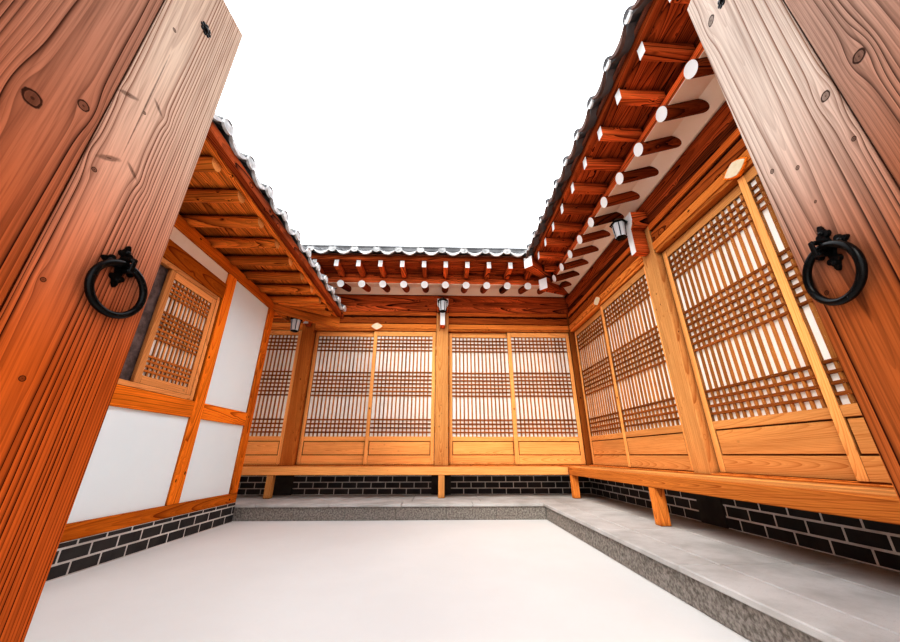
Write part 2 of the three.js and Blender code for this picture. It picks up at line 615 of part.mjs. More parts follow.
function leftPlainWall(axis, outer, inward, start, end) {
  const bar = wallBox(axis, outer, inward);
  const pieces = [bar(start, end, 25, 125, LEFT_BASE + GAP, LEFT_WALL_TOP + 10),
    bar(start, end, 0, STUD, LEFT_BASE + GAP, LEFT_SILL_TOP), bar(start, end, 0, STUD, ...LEFT_RAIL),
    bar(start, end, 0, STUD, LEFT_WALL_TOP, LEFT_PLATE_TOP)];
  for (const s of steps(start + 75, end - 75, 1300)) {
    pieces.push(bar(s - 75, s + 75, 0, STUD, LEFT_BASE + GAP, LEFT_WALL_TOP + 50));
  }
  return fuse(pieces);
}

function leftHull(inset, floor, top, crest) {
  const h = LEFT_HALF - inset;
  const corners = [];
  for (const x of [LEFT_MIDDLE - h, LEFT_MIDDLE + h]) {
    for (const y of [LEFT_ROOF_SOUTH + inset, LEFT_ROOF_NORTH - inset]) {
      corners.push([x, y, floor], [x, y, top]);
    }
  }
  if (crest) {
    corners.push([LEFT_MIDDLE, LEFT_ROOF_SOUTH + LEFT_HALF, crest], [LEFT_MIDDLE, LEFT_ROOF_NORTH - LEFT_HALF, crest]);
  }
  return new ConvexGeometry(corners.map(c => new THREE.Vector3(...c)));
}

function leftRoof() {
  const top = inset => LEFT_EDGE_Z + LEFT_SLOPE * inset;
  const rim = 330;
  const shell = leftHull(0, LEFT_EDGE_Z - LEFT_EDGE, top(0), top(LEFT_HALF));
  const attic = leftHull(rim, LEFT_EDGE_Z - 200, top(rim) - LEFT_THICK, top(LEFT_HALF) - LEFT_THICK);
  return fuse([shell], [attic]);
}

function leftRidge() {
  const crest = LEFT_EDGE_Z + LEFT_SLOPE * LEFT_HALF;
  const ends = [LEFT_ROOF_SOUTH + LEFT_HALF, LEFT_ROOF_NORTH - LEFT_HALF];
  const pieces = [box(LEFT_MIDDLE - 110, LEFT_MIDDLE + 110, ends[0] - 150, ends[1] + 150, crest - 150, crest + 220)];
  const run = (LEFT_HALF - 60) * Math.SQRT2;
  const drop = LEFT_SLOPE / Math.SQRT2;
  for (const [sx, end, sy] of [[1, 1, 1], [-1, 1, 1], [1, 0, -1], [-1, 0, -1]]) {
    const outline = [[0, crest - 50], [run, crest - run * drop - 50], [run, crest - run * drop + 150], [0, crest + 150]];
    const turn = Math.atan2(sy, sx);
    pieces.push(prism('y', outline, -80, 80).rotateZ(turn).translate(LEFT_MIDDLE, ends[end], 0));
  }
  const top = inset => LEFT_EDGE_Z + LEFT_SLOPE * inset + GAP;
  return fuse(pieces, [leftHull(0, LEFT_EDGE_Z - 400, top(0), top(LEFT_HALF))]);
}

function leftEave() {
  const inner = LEFT_OVERHANG + 100;
  const level = [LEFT_SOFFIT - 20 - LEFT_RAFTER, LEFT_SOFFIT - 10];
  const pieces = [leftHull(60, LEFT_SOFFIT - LEFT_BOARDS, LEFT_SOFFIT)];
  const reach = [LEFT_HALF - inner + 10, LEFT_HALF - LEFT_RAFTER_INSET];
  for (const y of steps(LEFT_ROOF_SOUTH + inner, LEFT_ROOF_NORTH - inner, RAFTER_PITCH)) {
    for (const side of [-1, 1]) {
      const [a, b] = reach.map(r => LEFT_MIDDLE + side * r);
      pieces.push(box(a, b, y - LEFT_RAFTER / 2, y + LEFT_RAFTER / 2, ...level));
    }
  }
  for (const x of steps(LEFT_MIDDLE - LEFT_HALF + inner, LEFT_MIDDLE + LEFT_HALF - inner, RAFTER_PITCH)) {
    for (const [y, s] of [[LEFT_ROOF_SOUTH, 1], [LEFT_ROOF_NORTH, -1]]) {
      pieces.push(box(x - LEFT_RAFTER / 2, x + LEFT_RAFTER / 2, y + s * LEFT_RAFTER_INSET, y + s * (inner + 10), ...level));
    }
  }
  return fuse(pieces, [leftHull(inner, LEFT_SOFFIT - 100, LEFT_SOFFIT + 50)]);
}

// The gate
const gate = new THREE.Group();
gate.position.set(...GATE_CENTRE, 0);
gate.rotation.z = THREE.MathUtils.degToRad(GATE_TURN);
court.add(gate);

// Where a line along the gate meets a north-south plane of the court
function gateMeets(x) {
  const turn = THREE.MathUtils.degToRad(GATE_TURN);
  return y => (x - GATE_CENTRE[0] + y * Math.sin(turn)) / Math.cos(turn);
}

const GATE_INSIDE = GATE_PIVOT + LEAF_BACK + CLEAR + 7;
const GATE_OUTSIDE = GATE_INSIDE + GATE_POST;

const PIN_SIDES = 12;
const SOCKET_RADIUS = (PIVOT_RADIUS + GAP) / Math.cos(Math.PI / PIN_SIDES);

function pin(x, radius, z0, z1) {
  return new THREE.CylinderGeometry(radius, radius, z1 - z0, PIN_SIDES).rotateX(Math.PI / 2).translate(x, 0, (z0 + z1) / 2);
}

function gateFrame() {
  const pieces = [box(-GATE_INSIDE - 5, GATE_INSIDE + 5, ...GATE_BEAM, 0, GATE_SILL),
    box(-GATE_INSIDE - 5, GATE_INSIDE + 5, ...GATE_BEAM, GATE_HEAD, GATE_HEAD + 150)];
  const holes = [];
  for (const side of [-1, 1]) {
    pieces.push(box(side * GATE_INSIDE, side * GATE_OUTSIDE, ...GATE_DEPTH, 0, GATE_WALL_TOP));
    const block = [side * (GATE_INSIDE + 5), side * (GATE_PIVOT - 55)];
    pieces.push(box(...block, -50, 62, 0, LEAF_LEVEL[0] - CLEAR), box(...block, -50, 62, LEAF_LEVEL[1] + CLEAR, GATE_HEAD + 100));
    holes.push(pin(side * GATE_PIVOT, SOCKET_RADIUS, 40 - GAP, 200),
      pin(side * GATE_PIVOT, SOCKET_RADIUS, LEAF_LEVEL[1] - 20, LEAF_LEVEL[1] + 55));
  }
  return fuse(pieces, holes);
}

function gateWall(start, end) {
  const [y0, y1] = GATE_BEAM;
  return prism('x', [[y0, 0], [y1, 0], [y1, GATE_WALL_TOP], [y0, GATE_WALL_TOP]], start, end);
}

function gateRoof() {
  const middle = (GATE_BEAM[0] + GATE_BEAM[1]) / 2;
  const half = GATE_EAVE;
  const rise = GATE_SLOPE * half;
  const under = GATE_WALL_TOP + GAP;
  const outline = [[middle - half, under], [middle + half, under], [middle + half, GATE_EAVE_Z + 40],
    [middle + 90, GATE_EAVE_Z + rise], [middle + 60, GATE_EAVE_Z + rise + 140],
    [middle - 60, GATE_EAVE_Z + rise + 140], [middle - 90, GATE_EAVE_Z + rise], [middle - half, GATE_EAVE_Z + 40]];
  return prism('x', outline, gateMeets(LEFT_X + 10), gateMeets(COURT_X - 10));
}

// A leaf drawn closed: outer face at -y, free edge at +x, pivot on the z axis
function gateLeaf() {
  const width = GATE_PIVOT - CLEAR / 2;
  const half = LEAF_THICK / 2;
  const pins = [pin(0, PIVOT_RADIUS, 40, LEAF_LEVEL[0] + 20), pin(0, PIVOT_RADIUS, LEAF_LEVEL[1] - 20, LEAF_LEVEL[1] + 50)];
  const eye = width - RING_FROM_EDGE;
  const seat = RING_Z + RING_RADIUS;
  const rest = seat - RING_ROD - EYE_HALF * Math.tan(Math.PI / RING_SIDES) - 0.1;
  const plate = box(eye - 42, eye + 42, -half - 3, -half + 5, seat - 45, seat + 45);
  const rodTop = seat + RING_ROD + GAP;
  const out = -half - 3;
  const bars = [box(eye - EYE_HALF, eye + EYE_HALF, out - 26, out + 3, rest - 8, rest),
    box(eye - EYE_HALF, eye + EYE_HALF, out - 26, out + 3, rodTop + 2, rodTop + 9),
    box(eye - EYE_HALF, eye + EYE_HALF, out - 30, out - 22, rest - 8, rodTop + 9)];
  return fuse([box(-LEAF_BACK, width, -half, half, ...LEAF_LEVEL), ...pins, plate, ...bars]);
}

function gateRing() {
  const outline = circle(RING_RADIUS, 0, RING_ROD, ROD_SIDES).map(([r, z]) => new THREE.Vector2(r, z));
  const ring = new THREE.LatheGeometry([...outline, outline[0]], RING_SIDES);
  const eye = GATE_PIVOT - CLEAR / 2 - RING_FROM_EDGE;
  return outward(ring).translate(eye, -LEAF_THICK / 2 - 3 - 13, RING_Z);
}

function hang(side, open) {
  const leaf = new THREE.Group();
  leaf.position.set(side * GATE_PIVOT, 0, 0);
  leaf.rotation.z = THREE.MathUtils.degToRad(-side * open);
  gate.add(leaf);
  const name = side < 0 ? 'left' : 'right';
  const handed = shape => (side < 0 ? shape : outward(shape.scale(-1, 1, 1)));
  add(`gate_leaf_${name}`, handed(gateLeaf()), 'dark_pine', leaf);
  add(`gate_ring_${name}`, handed(gateRing()), 'iron', leaf);
}

function build() {
  add('stylobate', stylobate(), 'granite');
  add('base_main', mainBase(), 'brick');
  add('base_left', box(LEFT_WEST, LEFT_X, SOUTH_Y, LEFT_NORTH, 0, LEFT_BASE), 'brick');
  add('veranda_back', backVeranda(), 'pine');
  add('veranda_right', rightVeranda(), 'pine');
  add('frame_back_court', backCourtFrame(), 'pine');
  add('frame_right_court', rightCourtFrame(), 'pine');
  const inner = BACK_DEPTH - POST - GAP;
  add('wall_back_rear', purlinWall('x', BACK_DEPTH, BACK_OVERHANG, [...BACK_POSTS, EAST_X - POST / 2], [WEST_X, EAST_X],
    y => y + MITRE - GAP, REAR_WINDOWS), 'white_plaster');
  add('wall_right_outer', purlinWall('y', EAST_X, RIGHT_OVERHANG, [SOUTH_Y + POST / 2, ...RIGHT_POSTS, POST / 2], [SOUTH_Y, inner],
    x => x - MITRE - GAP, OUTER_WINDOWS), 'white_plaster');
  add('wall_west_end', gableWall('y', WEST_X, 1, POST + GAP, inner), 'white_plaster');
  add('wall_south_end', gableWall('x', SOUTH_Y, 1, COURT_X + POST + GAP, EAST_X - POST - GAP), 'white_plaster');
  REAR_WINDOWS.forEach((span, i) => add(`window_rear_${i + 1}`,
    windowSash('x', BACK_DEPTH, -1, span, WINDOW_LEVEL, 70), 'lattice_door'));
  OUTER_WINDOWS.forEach((span, i) => add(`window_outer_${i + 1}`,
    windowSash('y', EAST_X, -1, span, WINDOW_LEVEL, 70), 'lattice_door'));
  eaves();
  add('valley_rafter', valleyRafter(), 'dark_pine');
  for (const [name, geometry] of Object.entries(mainRoofs())) add(name, geometry, 'roof_tile');
  add('ridge_main', mainRidge(), 'roof_tile');
  add('bargeboard_west', bargeboard('x', RIDGE_Y, ROOF_WEST), 'dark_pine');
  add('bargeboard_south', bargeboard('y', RIDGE_X, ROOF_SOUTH), 'dark_pine');
  lanterns();
  doors('back', 'x', 0, BACK_BAYS, [TRACKS[1], TRACKS[0]]);
  doors('right', 'y', COURT_X, RIGHT_BAYS, TRACKS);
  add('wall_left_court', leftCourtWall(), 'pine');
  add('wall_left_west', leftPlainWall('y', LEFT_WEST, 1, SOUTH_Y, LEFT_NORTH), 'pine');
  const between = [LEFT_WEST + STUD + GAP, LEFT_X - STUD - GAP];
  add('wall_left_north', leftPlainWall('x', LEFT_NORTH, -1, ...between), 'pine');
  add('wall_left_south', leftPlainWall('x', SOUTH_Y, 1, ...between), 'pine');
  add('window_left', windowSash('y', LEFT_X, -1, LEFT_WINDOW, [LEFT_RAIL[1], LEFT_HEAD[0]], 30), 'lattice_door');
  add('eave_left', leftEave(), 'pine');
  add('roof_left', leftRoof(), 'roof_tile');
  add('ridge_left', leftRidge(), 'roof_tile');
  add('gate_frame', gateFrame(), 'dark_pine', gate);
  add('gate_wall_left', gateWall(gateMeets(LEFT_X + GAP), -GATE_OUTSIDE - GAP), 'white_plaster', gate);
  add('gate_wall_right', gateWall(GATE_OUTSIDE + GAP, gateMeets(COURT_X - GAP)), 'white_plaster', gate);
  add('gate_roof', gateRoof(), 'roof_tile', gate);
  hang(-1, LEFT_LEAF_OPEN);
  hang(1, RIGHT_LEAF_OPEN);
}

build();

// The origin is the middle of the plan, on the ground
const west = LEFT_MIDDLE - LEFT_HALF;
const east = EAST_X + RIGHT_OVERHANG;
const south = LEFT_ROOF_SOUTH;
const north = BACK_DEPTH + BACK_OVERHANG;
court.position.set(-(west + east) / 2, -(south + north) / 2, 0);

export default house;
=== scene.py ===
# %% [markdown]
# # A courtyard house of pine, plaster and clay tile
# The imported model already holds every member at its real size. This lesson dresses it:
# timbers get bevels and a grain that runs along each piece, doors get their lattice, glass
# and paper, and the roofs get their rows of tiles. We work in metres, in the court's own
# frame: x runs right along the back wing, y runs away from the gate, and x = y = 0 is the
# front of the middle post. One vector carries finished pieces from there to the model.

# %% The fixed frame
import math
import random
from functools import partial
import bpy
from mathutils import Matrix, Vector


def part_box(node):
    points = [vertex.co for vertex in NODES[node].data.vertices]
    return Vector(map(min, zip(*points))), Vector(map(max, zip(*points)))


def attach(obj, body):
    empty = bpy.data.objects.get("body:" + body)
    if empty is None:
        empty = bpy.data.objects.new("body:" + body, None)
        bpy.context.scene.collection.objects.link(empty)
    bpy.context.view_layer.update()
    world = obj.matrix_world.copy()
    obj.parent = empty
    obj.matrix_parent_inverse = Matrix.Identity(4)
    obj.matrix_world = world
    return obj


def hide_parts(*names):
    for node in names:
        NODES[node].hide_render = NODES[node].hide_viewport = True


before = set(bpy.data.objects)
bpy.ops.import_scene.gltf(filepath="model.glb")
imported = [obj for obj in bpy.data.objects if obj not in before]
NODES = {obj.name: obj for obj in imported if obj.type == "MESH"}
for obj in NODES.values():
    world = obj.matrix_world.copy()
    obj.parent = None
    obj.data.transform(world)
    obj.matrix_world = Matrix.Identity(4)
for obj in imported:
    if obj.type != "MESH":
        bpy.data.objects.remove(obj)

from types import SimpleNamespace

import bmesh
import bpy
from mathutils import Matrix, Vector

random.seed(11)
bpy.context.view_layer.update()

# %% Driving sizes of the house, as in the model
POST, BAY = 0.22, 2.4
BACK_DEPTH, RIGHT_DEPTH = 3.0, 3.2
COURT_X = 2.33
EAST_X = COURT_X + RIGHT_DEPTH
WEST_X = -2 * BAY - POST / 2
SOUTH_Y = -6.3
RIGHT_POSTS = (-2.51, -4.95)
CORNER_POST = COURT_X - 0.01 + POST / 2
BACK_POSTS = (-2 * BAY, -BAY, 0.0, CORNER_POST)
PLATFORM_TOP, PLATFORM_REACH = 0.18, 1.06
BASE_TOP, SILL_TOP = 0.475, 0.598
VERANDA_TOP, VERANDA_REACH = 0.577, 0.5
DOOR_HEAD, LINTEL_TOP = 2.83, 3.12
BACK_OVERHANG, RIGHT_OVERHANG = 1.05, 0.95
HALF_SPAN = BACK_DEPTH / 2 + BACK_OVERHANG
MITRE = (COURT_X + RIGHT_DEPTH / 2) - BACK_DEPTH / 2
ROOF_WEST, ROOF_SOUTH = WEST_X - 0.45, SOUTH_Y - 0.45
HAIR = 0.0003
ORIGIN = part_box("base_main")[1] - Vector((EAST_X, BACK_DEPTH, BASE_TOP))
print("court origin in the model's frame:", [round(v, 4) for v in ORIGIN])

# %% [markdown]
# ## The camera
# The photograph was taken standing low between the two open gate leaves with a very wide
# lens tipped upwards. Solving the posts and level beams gave a focal length of 339 pixels
# on a frame 900 wide, which is 13.6 mm on a 36 mm sensor.

# %% Camera and light
FRAME_WIDTH, FOCAL_PIXELS, SENSOR = 900, 339.31, 36.0
VIEWPOINT = (-0.3954, -4.2713, 0.7401)
TILT, TURN = 111.548, -1.753


def place_object(name, data):
    thing = bpy.data.objects.new(name, data)
    bpy.context.scene.collection.objects.link(thing)
    return thing


def make_camera():
    data = bpy.data.cameras.new("eye")
    data.sensor_width = SENSOR
    data.lens = FOCAL_PIXELS * SENSOR / FRAME_WIDTH
    data.clip_start, data.clip_end = 0.02, 200
    camera = place_object("eye", data)
    camera.location = VIEWPOINT
    camera.rotation_euler = (math.radians(TILT), 0, math.radians(TURN))
    bpy.context.scene.camera = camera


def make_light():
    world = bpy.data.worlds.new("studio")
    bpy.context.scene.world = world
    world.use_nodes = True
    sky = world.node_tree.nodes["Background"]
    sky.inputs["Color"].default_value = (0.93, 0.96, 1.0, 1)
    sky.inputs["Strength"].default_value = 2.8
    data = bpy.data.lights.new("key", "SUN")
    data.energy, data.angle, data.color = 2.2, math.radians(26), (1.0, 0.94, 0.84)
    ray = Vector((0.40, 0.66, -0.62))
    place_object("key", data).rotation_euler = ray.to_track_quat("-Z", "Y").to_euler()


make_camera()
make_light()
bpy.context.scene.view_settings.view_transform = "Standard"
bpy.context.scene.view_settings.look = "Medium High Contrast"

# %% [markdown]
# ## Materials
# A material is a small graph of nodes. Whatever several finishes share becomes a node
# group with named inputs, built once. To keep the graphs short, a socket is wrapped so that
# plus, minus and the other signs each add a Math node to the socket's own tree.

# %% Node helpers
class Wire:
    """An output socket that takes arithmetic."""

    def __init__(self, socket):
        self.socket = socket

    def node(self, kind, settings=None, output=0, **inputs):
        """A node fed by sockets of the same tree, and one of its outputs."""
        return Wire(put(self.socket.id_data, kind, settings, **inputs).outputs[output])

    def math(self, operation, other=0.0):
        return self.node("Math", {"operation": operation}, _0=self, _1=other)

    def __add__(self, other):
        return self.math("ADD", other)

    def __sub__(self, other):
        return self.math("SUBTRACT", other)

    def __mul__(self, other):
        return self.math("MULTIPLY", other)

    def __truediv__(self, other):
        return self.math("DIVIDE", other)

    def most(self, other):
        return self.math("MAXIMUM", other)

    def vector(self, operation, other):
        return self.node("VectorMath", {"operation": operation}, _0=self, _1=other)

    def length(self):
        return self.node("VectorMath", {"operation": "LENGTH"}, "Value", _0=self)

    def part(self, letter):
        return self.node("SeparateXYZ", None, letter, Vector=self)

    def ease(self, low, high, to_low=0.0, to_high=1.0):
        """A value mapped smoothly from one range to another."""
        return self.node("MapRange", {"interpolation_type": "SMOOTHSTEP"}, Value=self, From_Min=low,
                         From_Max=high, To_Min=to_low, To_Max=to_high)

    def noise(self, scale, detail=2.0, rough=0.5):
        """Noise over a vector, which a triple stretches by axis."""
        even = not isinstance(scale, tuple)
        return self.node("TexNoise", None, "Fac", Vector=self if even else self.vector("MULTIPLY", scale),
                         Scale=scale if even else 1.0, Detail=detail, Roughness=rough)

    def blend(self, a, b):
        """Two colours mixed by this share."""
        return self.node("Mix", {"data_type": "RGBA"}, 2, _0=self, _6=a, _7=b)


def feed(spot, value):
    """Wires an input, or sets it."""
    if isinstance(value, Wire):
        spot.id_data.links.new(value.socket, spot)
    else:
        spot.default_value = (*value, 1) if spot.type == "RGBA" else value


def put(tree, kind, settings=None, **inputs):
    """A new node. Keyword arguments name its inputs, with _ for a space or before a number."""
    node = tree.nodes.new("ShaderNode" + kind)
    for key, value in (settings or {}).items():
        setattr(node, key, value)
    for key, value in inputs.items():
        feed(node.inputs[int(key[1:]) if key[1:].isdigit() else key.replace("_", " ")], value)
    return node


KINDS = {"vector": "NodeSocketVector", "colour": "NodeSocketColor"}


def shader_group(name, inputs, outputs):
    """An empty node group. Each socket is a vector, a colour or a number with a first value."""
    tree = bpy.data.node_groups.new(name, "ShaderNodeTree")
    for way, sockets in (("INPUT", inputs), ("OUTPUT", outputs)):
        for label, kind in sockets.items():
            typed = KINDS.get(kind, "NodeSocketFloat")
            socket = tree.interface.new_socket(label, in_out=way, socket_type=typed)
            if kind not in KINDS:
                socket.default_value = kind
    given = {s.name: Wire(s) for s in tree.nodes.new("NodeGroupInput").outputs if s.name}
    return tree, SimpleNamespace(**given), tree.nodes.new("NodeGroupOutput").inputs


def material(name, look, roughness=0.5, bump=0.2, distance=0.003, **shader):
    """A Principled material. look is a colour, or a function of the node tree that gives its
    colour, height and roughness."""
    made = bpy.data.materials.new(name)
    made.use_nodes = True
    tree = made.node_tree
    body = tree.nodes["Principled BSDF"].inputs
    colour, height, rough = look(tree) if callable(look) else (look, None, roughness)
    feed(body["Base Color"], colour)
    feed(body["Roughness"], rough)
    if height:
        lift = put(tree, "Bump", Strength=bump, Distance=distance, Height=height)
        feed(body["Normal"], Wire(lift.outputs[0]))
    for key, value in shader.items():
        feed(body[key.replace("_", " ")], value)
    return made


# %% [markdown]
# ### Pine
# Boards and posts are cut from logs, so the grain is a set of rings around a pith that
# runs near the piece. Every timber made below carries its own grain coordinates: z along
# the piece, x and y across it, with a random shift that moves the pith. Where the pith
# wanders, rings cut by the face draw the arches of flat-sawn boards. Knots are cells of a
# Voronoi texture that bend the rings round themselves. Joints and recesses, which an
# ambient occlusion node finds, are darkened as painted shade.

# %% Grain group
GRAIN, TINT = "grain", "tint"
KNOT_HEART = (0.030, 0.009, 0.004)
# The colour of the painted shade in joints and recesses.
JOINT_SHADE = (0.035, 0.008, 0.002)


def grain_group():
    """Rings round a pith that wanders and tapers, cut by whichever face shows them."""
    tree, g, out = shader_group("pine_grain", {
        "Vector": "vector", "Tint": 0.5, "Light": "colour", "Dark": "colour", "Rings": 100.0, "Contrast": 0.7,
        "Wander": 0.16, "Taper": 0.05, "Knots": 1.0, "Cells": 7.0, "Ripple": 0.008, "Cloud": 0.7,
        "Push": "vector", "Spot": 0.0, "Fine": 0.3, "Calm": 0.0},
        {"Color": "colour", "Height": 0.0, "Roughness": 0.0})
    place = g.Vector
    slow = place.vector("MULTIPLY", (0.8, 0.8, 0.42))
    wander = slow.node("TexNoise", None, "Color", Vector=slow, Scale=1.0, Detail=1.4)
    swing = wander.vector("SUBTRACT", (0.5, 0.5, 0.5)).vector("MULTIPLY", g.Wander)
    pith = swing.vector("ADD", g.Push.vector("ADD", place))
    reach = pith.vector("MULTIPLY", (1, 1, 0)).length() - place.part("Z") * g.Taper
    cells = place.vector("MULTIPLY", (1, 1, 0.6))
    near = cells.node("TexVoronoi", None, "Distance", Vector=cells, Scale=g.Cells)
    swell = near.ease(0.02, 0.3, 0.014, 0.0) * g.Knots
    bent = place.noise((9, 9, 2.2)) * g.Ripple + (reach + swell)
    ring = bent * g.Rings
    uneven = place.node("CombineXYZ", X=bent * 24.0).noise(1.0)
    count = uneven * 2.0 + ring
    saw = count.math("FRACT")
    line = saw.math("POWER", 2.4) * saw.ease(0.95, 1.0, 1.0, 0.0)
    thin = (ring * 3.4).math("FRACT").math("POWER", 3.0)
    bold = place.node("TexWhiteNoise", {"noise_dimensions": "1D"}, "Value", W=count.math("FLOOR"))
    quiet = pith.part("X").math("ABSOLUTE").ease(0.008, 0.05, 1.0, 0.0) * g.Calm
    band = (line * bold.ease(0.0, 0.9, 0.35, 1.0)).most(thin * g.Fine) * (quiet * -1.0 + 1.0)
    fibre, streak = place.noise((260, 260, 5)), place.noise((70, 70, 1.1), 3.0)
    cloud = place.noise((5, 5, 0.9), 3.0)
    knot = (near.ease(0.05, 0.085, 1.0, 0.0) * g.Knots).most(g.Spot)
    worn = (band * g.Contrast).blend(g.Light, g.Dark)
    worn = fibre.ease(0.42, 0.72, 0.0, 0.32).blend(worn, g.Dark)
    worn = streak.ease(0.48, 0.75, 0.0, 0.3).blend(worn, g.Dark)
    tone = g.Tint.ease(0.0, 1.0, 0.72, 1.2) * g.Tint.ease(-1.0, 0.0, 0.1, 1.0)
    shade = ((cloud - 0.5) * g.Cloud + 1.0) * tone
    feed(out["Color"], place.node("HueSaturation", Value=shade, Color=(knot * 0.94).blend(worn, KNOT_HEART)))
    feed(out["Height"], fibre * 0.35 + band * -0.8 - knot)
    feed(out["Roughness"], band.ease(0.0, 1.0, 0.55, 0.75))
    return tree


def knot_group():
    """One knot at a chosen place, drawn as an eye, or a branch sawn along its length. It
    parts the grain to both sides by its lift and leaves a dark ring with a dark heart."""
    tree, g, out = shader_group("placed_knot", {
        "Vector": "vector", "Place": "vector", "Size": 0.012, "Turn": 0.0, "Long": 1.0, "Lift": 1.0,
        "Push": "vector", "Spot": 0.0}, {"Push": "vector", "Spot": 0.0})
    apart = g.Vector.vector("SUBTRACT", g.Place)
    swung = apart.node("VectorRotate", {"rotation_type": "Y_AXIS"}, Vector=apart, Angle=g.Turn)
    shrunk = apart.node("CombineXYZ", X=swung.part("X") / g.Long, Z=swung.part("Z"))
    reach = shrunk.vector("MULTIPLY", (1, 1, 0.42)).length() / g.Size
    aside = (reach * reach * -0.2).math("EXPONENT") * g.Lift * apart.part("X")
    edge = g.Vector.noise(90.0, 3.0) * 0.5 + shrunk.length() / g.Size
    rim = edge.ease(0.95, 1.15) * edge.ease(1.3, 1.5, 1.0, 0.0) / g.Long
    drawn = edge.ease(0.35, 0.75, 0.9, 0.0).most(edge.ease(0.9, 1.5, 0.62, 0.0)).most(rim)
    feed(out["Push"], g.Push.vector("SUBTRACT", apart.node("CombineXYZ", X=aside)))
    feed(out["Spot"], drawn.most(g.Spot))
    return tree


PINE, KNOT = grain_group(), knot_group()
PLANK_APART = 10


def wood(name, light, dark, rings=100.0, contrast=0.7, knots=1.0, bump=0.25, spots=(), painted_sunlight=None, painted_shade=0.8,
         **grown):
    """One argument gives the paler colours of a painted patch of sunlight on the wood and its rings
    above a height, less so on the first planks. Another gives how dark the painted shade in joints and
    recesses is."""
    def look(tree):
        grain = Wire(put(tree, "Attribute", {"attribute_name": GRAIN}).outputs["Vector"])
        tint = grain.node("Attribute", {"attribute_name": TINT}, "Fac")
        push, spot, pale, deep = (0, 0, 0), 0.0, light, dark
        for place, size, turn, long, lift in spots:
            knot = put(tree, "Group", {"node_tree": KNOT}, Vector=grain, Place=place, Size=size,
                       Turn=math.radians(turn), Long=long, Lift=lift, Push=push, Spot=spot).outputs
            push, spot = Wire(knot["Push"]), Wire(knot["Spot"])
        # Painted sunlight: above a height the wood and its rings blend to paler colours.
        if painted_sunlight:
            low, high, sunlit_colour, sunlit_rings, weaker = painted_sunlight
            height = grain.part("Z")
            share = height.ease(1.9 * PLANK_APART, 2 * PLANK_APART, weaker, 1.0)
            amount = height.math("MODULO", PLANK_APART).ease(low, high) * share
            pale, deep = amount.blend(light, sunlit_colour), amount.blend(dark, sunlit_rings)
        made = put(tree, "Group", {"node_tree": PINE}, Vector=grain, Tint=tint, Light=pale, Dark=deep,
                   Rings=rings, Contrast=contrast, Knots=knots, Push=push, Spot=spot, **grown).outputs
        # Painted shade: the colour darkens in joints and recesses, where the ambient occlusion node finds
        # other surfaces near.
        joint = grain.node("AmbientOcclusion", {"samples": 3}, "AO", Distance=0.06)
        shade_painted = joint.ease(0.25, 0.85, painted_shade, 0.0).blend(Wire(made["Color"]), JOINT_SHADE)
        return shade_painted, Wire(made["Height"]), Wire(made["Roughness"])
    return material(name, look, bump=bump, distance=0.002, Specular_IOR_Level=0.03)


POST_PINE = wood("post_pine", (0.82, 0.275, 0.055), (0.28, 0.040, 0.005), 90, 0.95)
DOOR_PINE = wood("door_pine", (0.88, 0.42, 0.14), (0.50, 0.14, 0.024), 110, 0.75, 0.2)
PALE_PINE = wood("sunlit_pine", (0.92, 0.46, 0.16), (0.46, 0.12, 0.018), 80, 0.95, 1.8, Cells=12.0)
RICH_PINE = wood("rich_pine", (1.0, 0.26, 0.022), (0.24, 0.024, 0.002), 60, 1.0, 1.2, Cloud=1.4)
BEAM_PINE = wood("beam_pine", (0.68, 0.16, 0.028), (0.085, 0.009, 0.002), 70, 1.1, 1.0, Cloud=1.5)
DARK_PINE = wood("dark_pine", (0.92, 0.18, 0.042), (0.008, 0.001, 0.001), 55, 1.25, 1.3, Cloud=2.4,
                 Wander=0.26, Cells=9.0)
WEATHERED_PINE = wood("weathered_pine", (0.28, 0.12, 0.080), (0.045, 0.014, 0.009), 70, 0.9, 0.4, Cloud=1.2)
EAVE_PINE = wood("eave_pine", (0.95, 0.28, 0.045), (0.07, 0.008, 0.002), 60, 1.1, 1.4, Cloud=1.8, Cells=10.0)
FRAME_PINE = wood("frame_pine", (0.84, 0.37, 0.13), (0.40, 0.10, 0.018), 110, 0.8, 0.3)
LATTICE_PINE = wood("lattice_pine", (0.82, 0.34, 0.090), (0.42, 0.11, 0.020), 120, 0.6, 0.0, painted_shade=0.4)
# The crossbars are a darker copy of the lattice pine, as painted shade under them.
SHADED_CROSSBAR_PINE = wood("shaded_crossbar_pine", (0.56, 0.17, 0.034), (0.16, 0.030, 0.005), 120, 0.6, 0.0, painted_shade=0.45)

# %% [markdown]
# The planks of the gate are grown on purpose. Each plank's grain starts at its own pith,
# so a knot is placed by its distance across the leaf, less the pith's, and its height. A
# branch that the saw met lengthwise is a long slanting mark, and a drying crack is the
# same mark standing upright and very thin. The grain of each plank also starts ten metres
# above the last one's, so that a knot of one plank stays out of its neighbours.

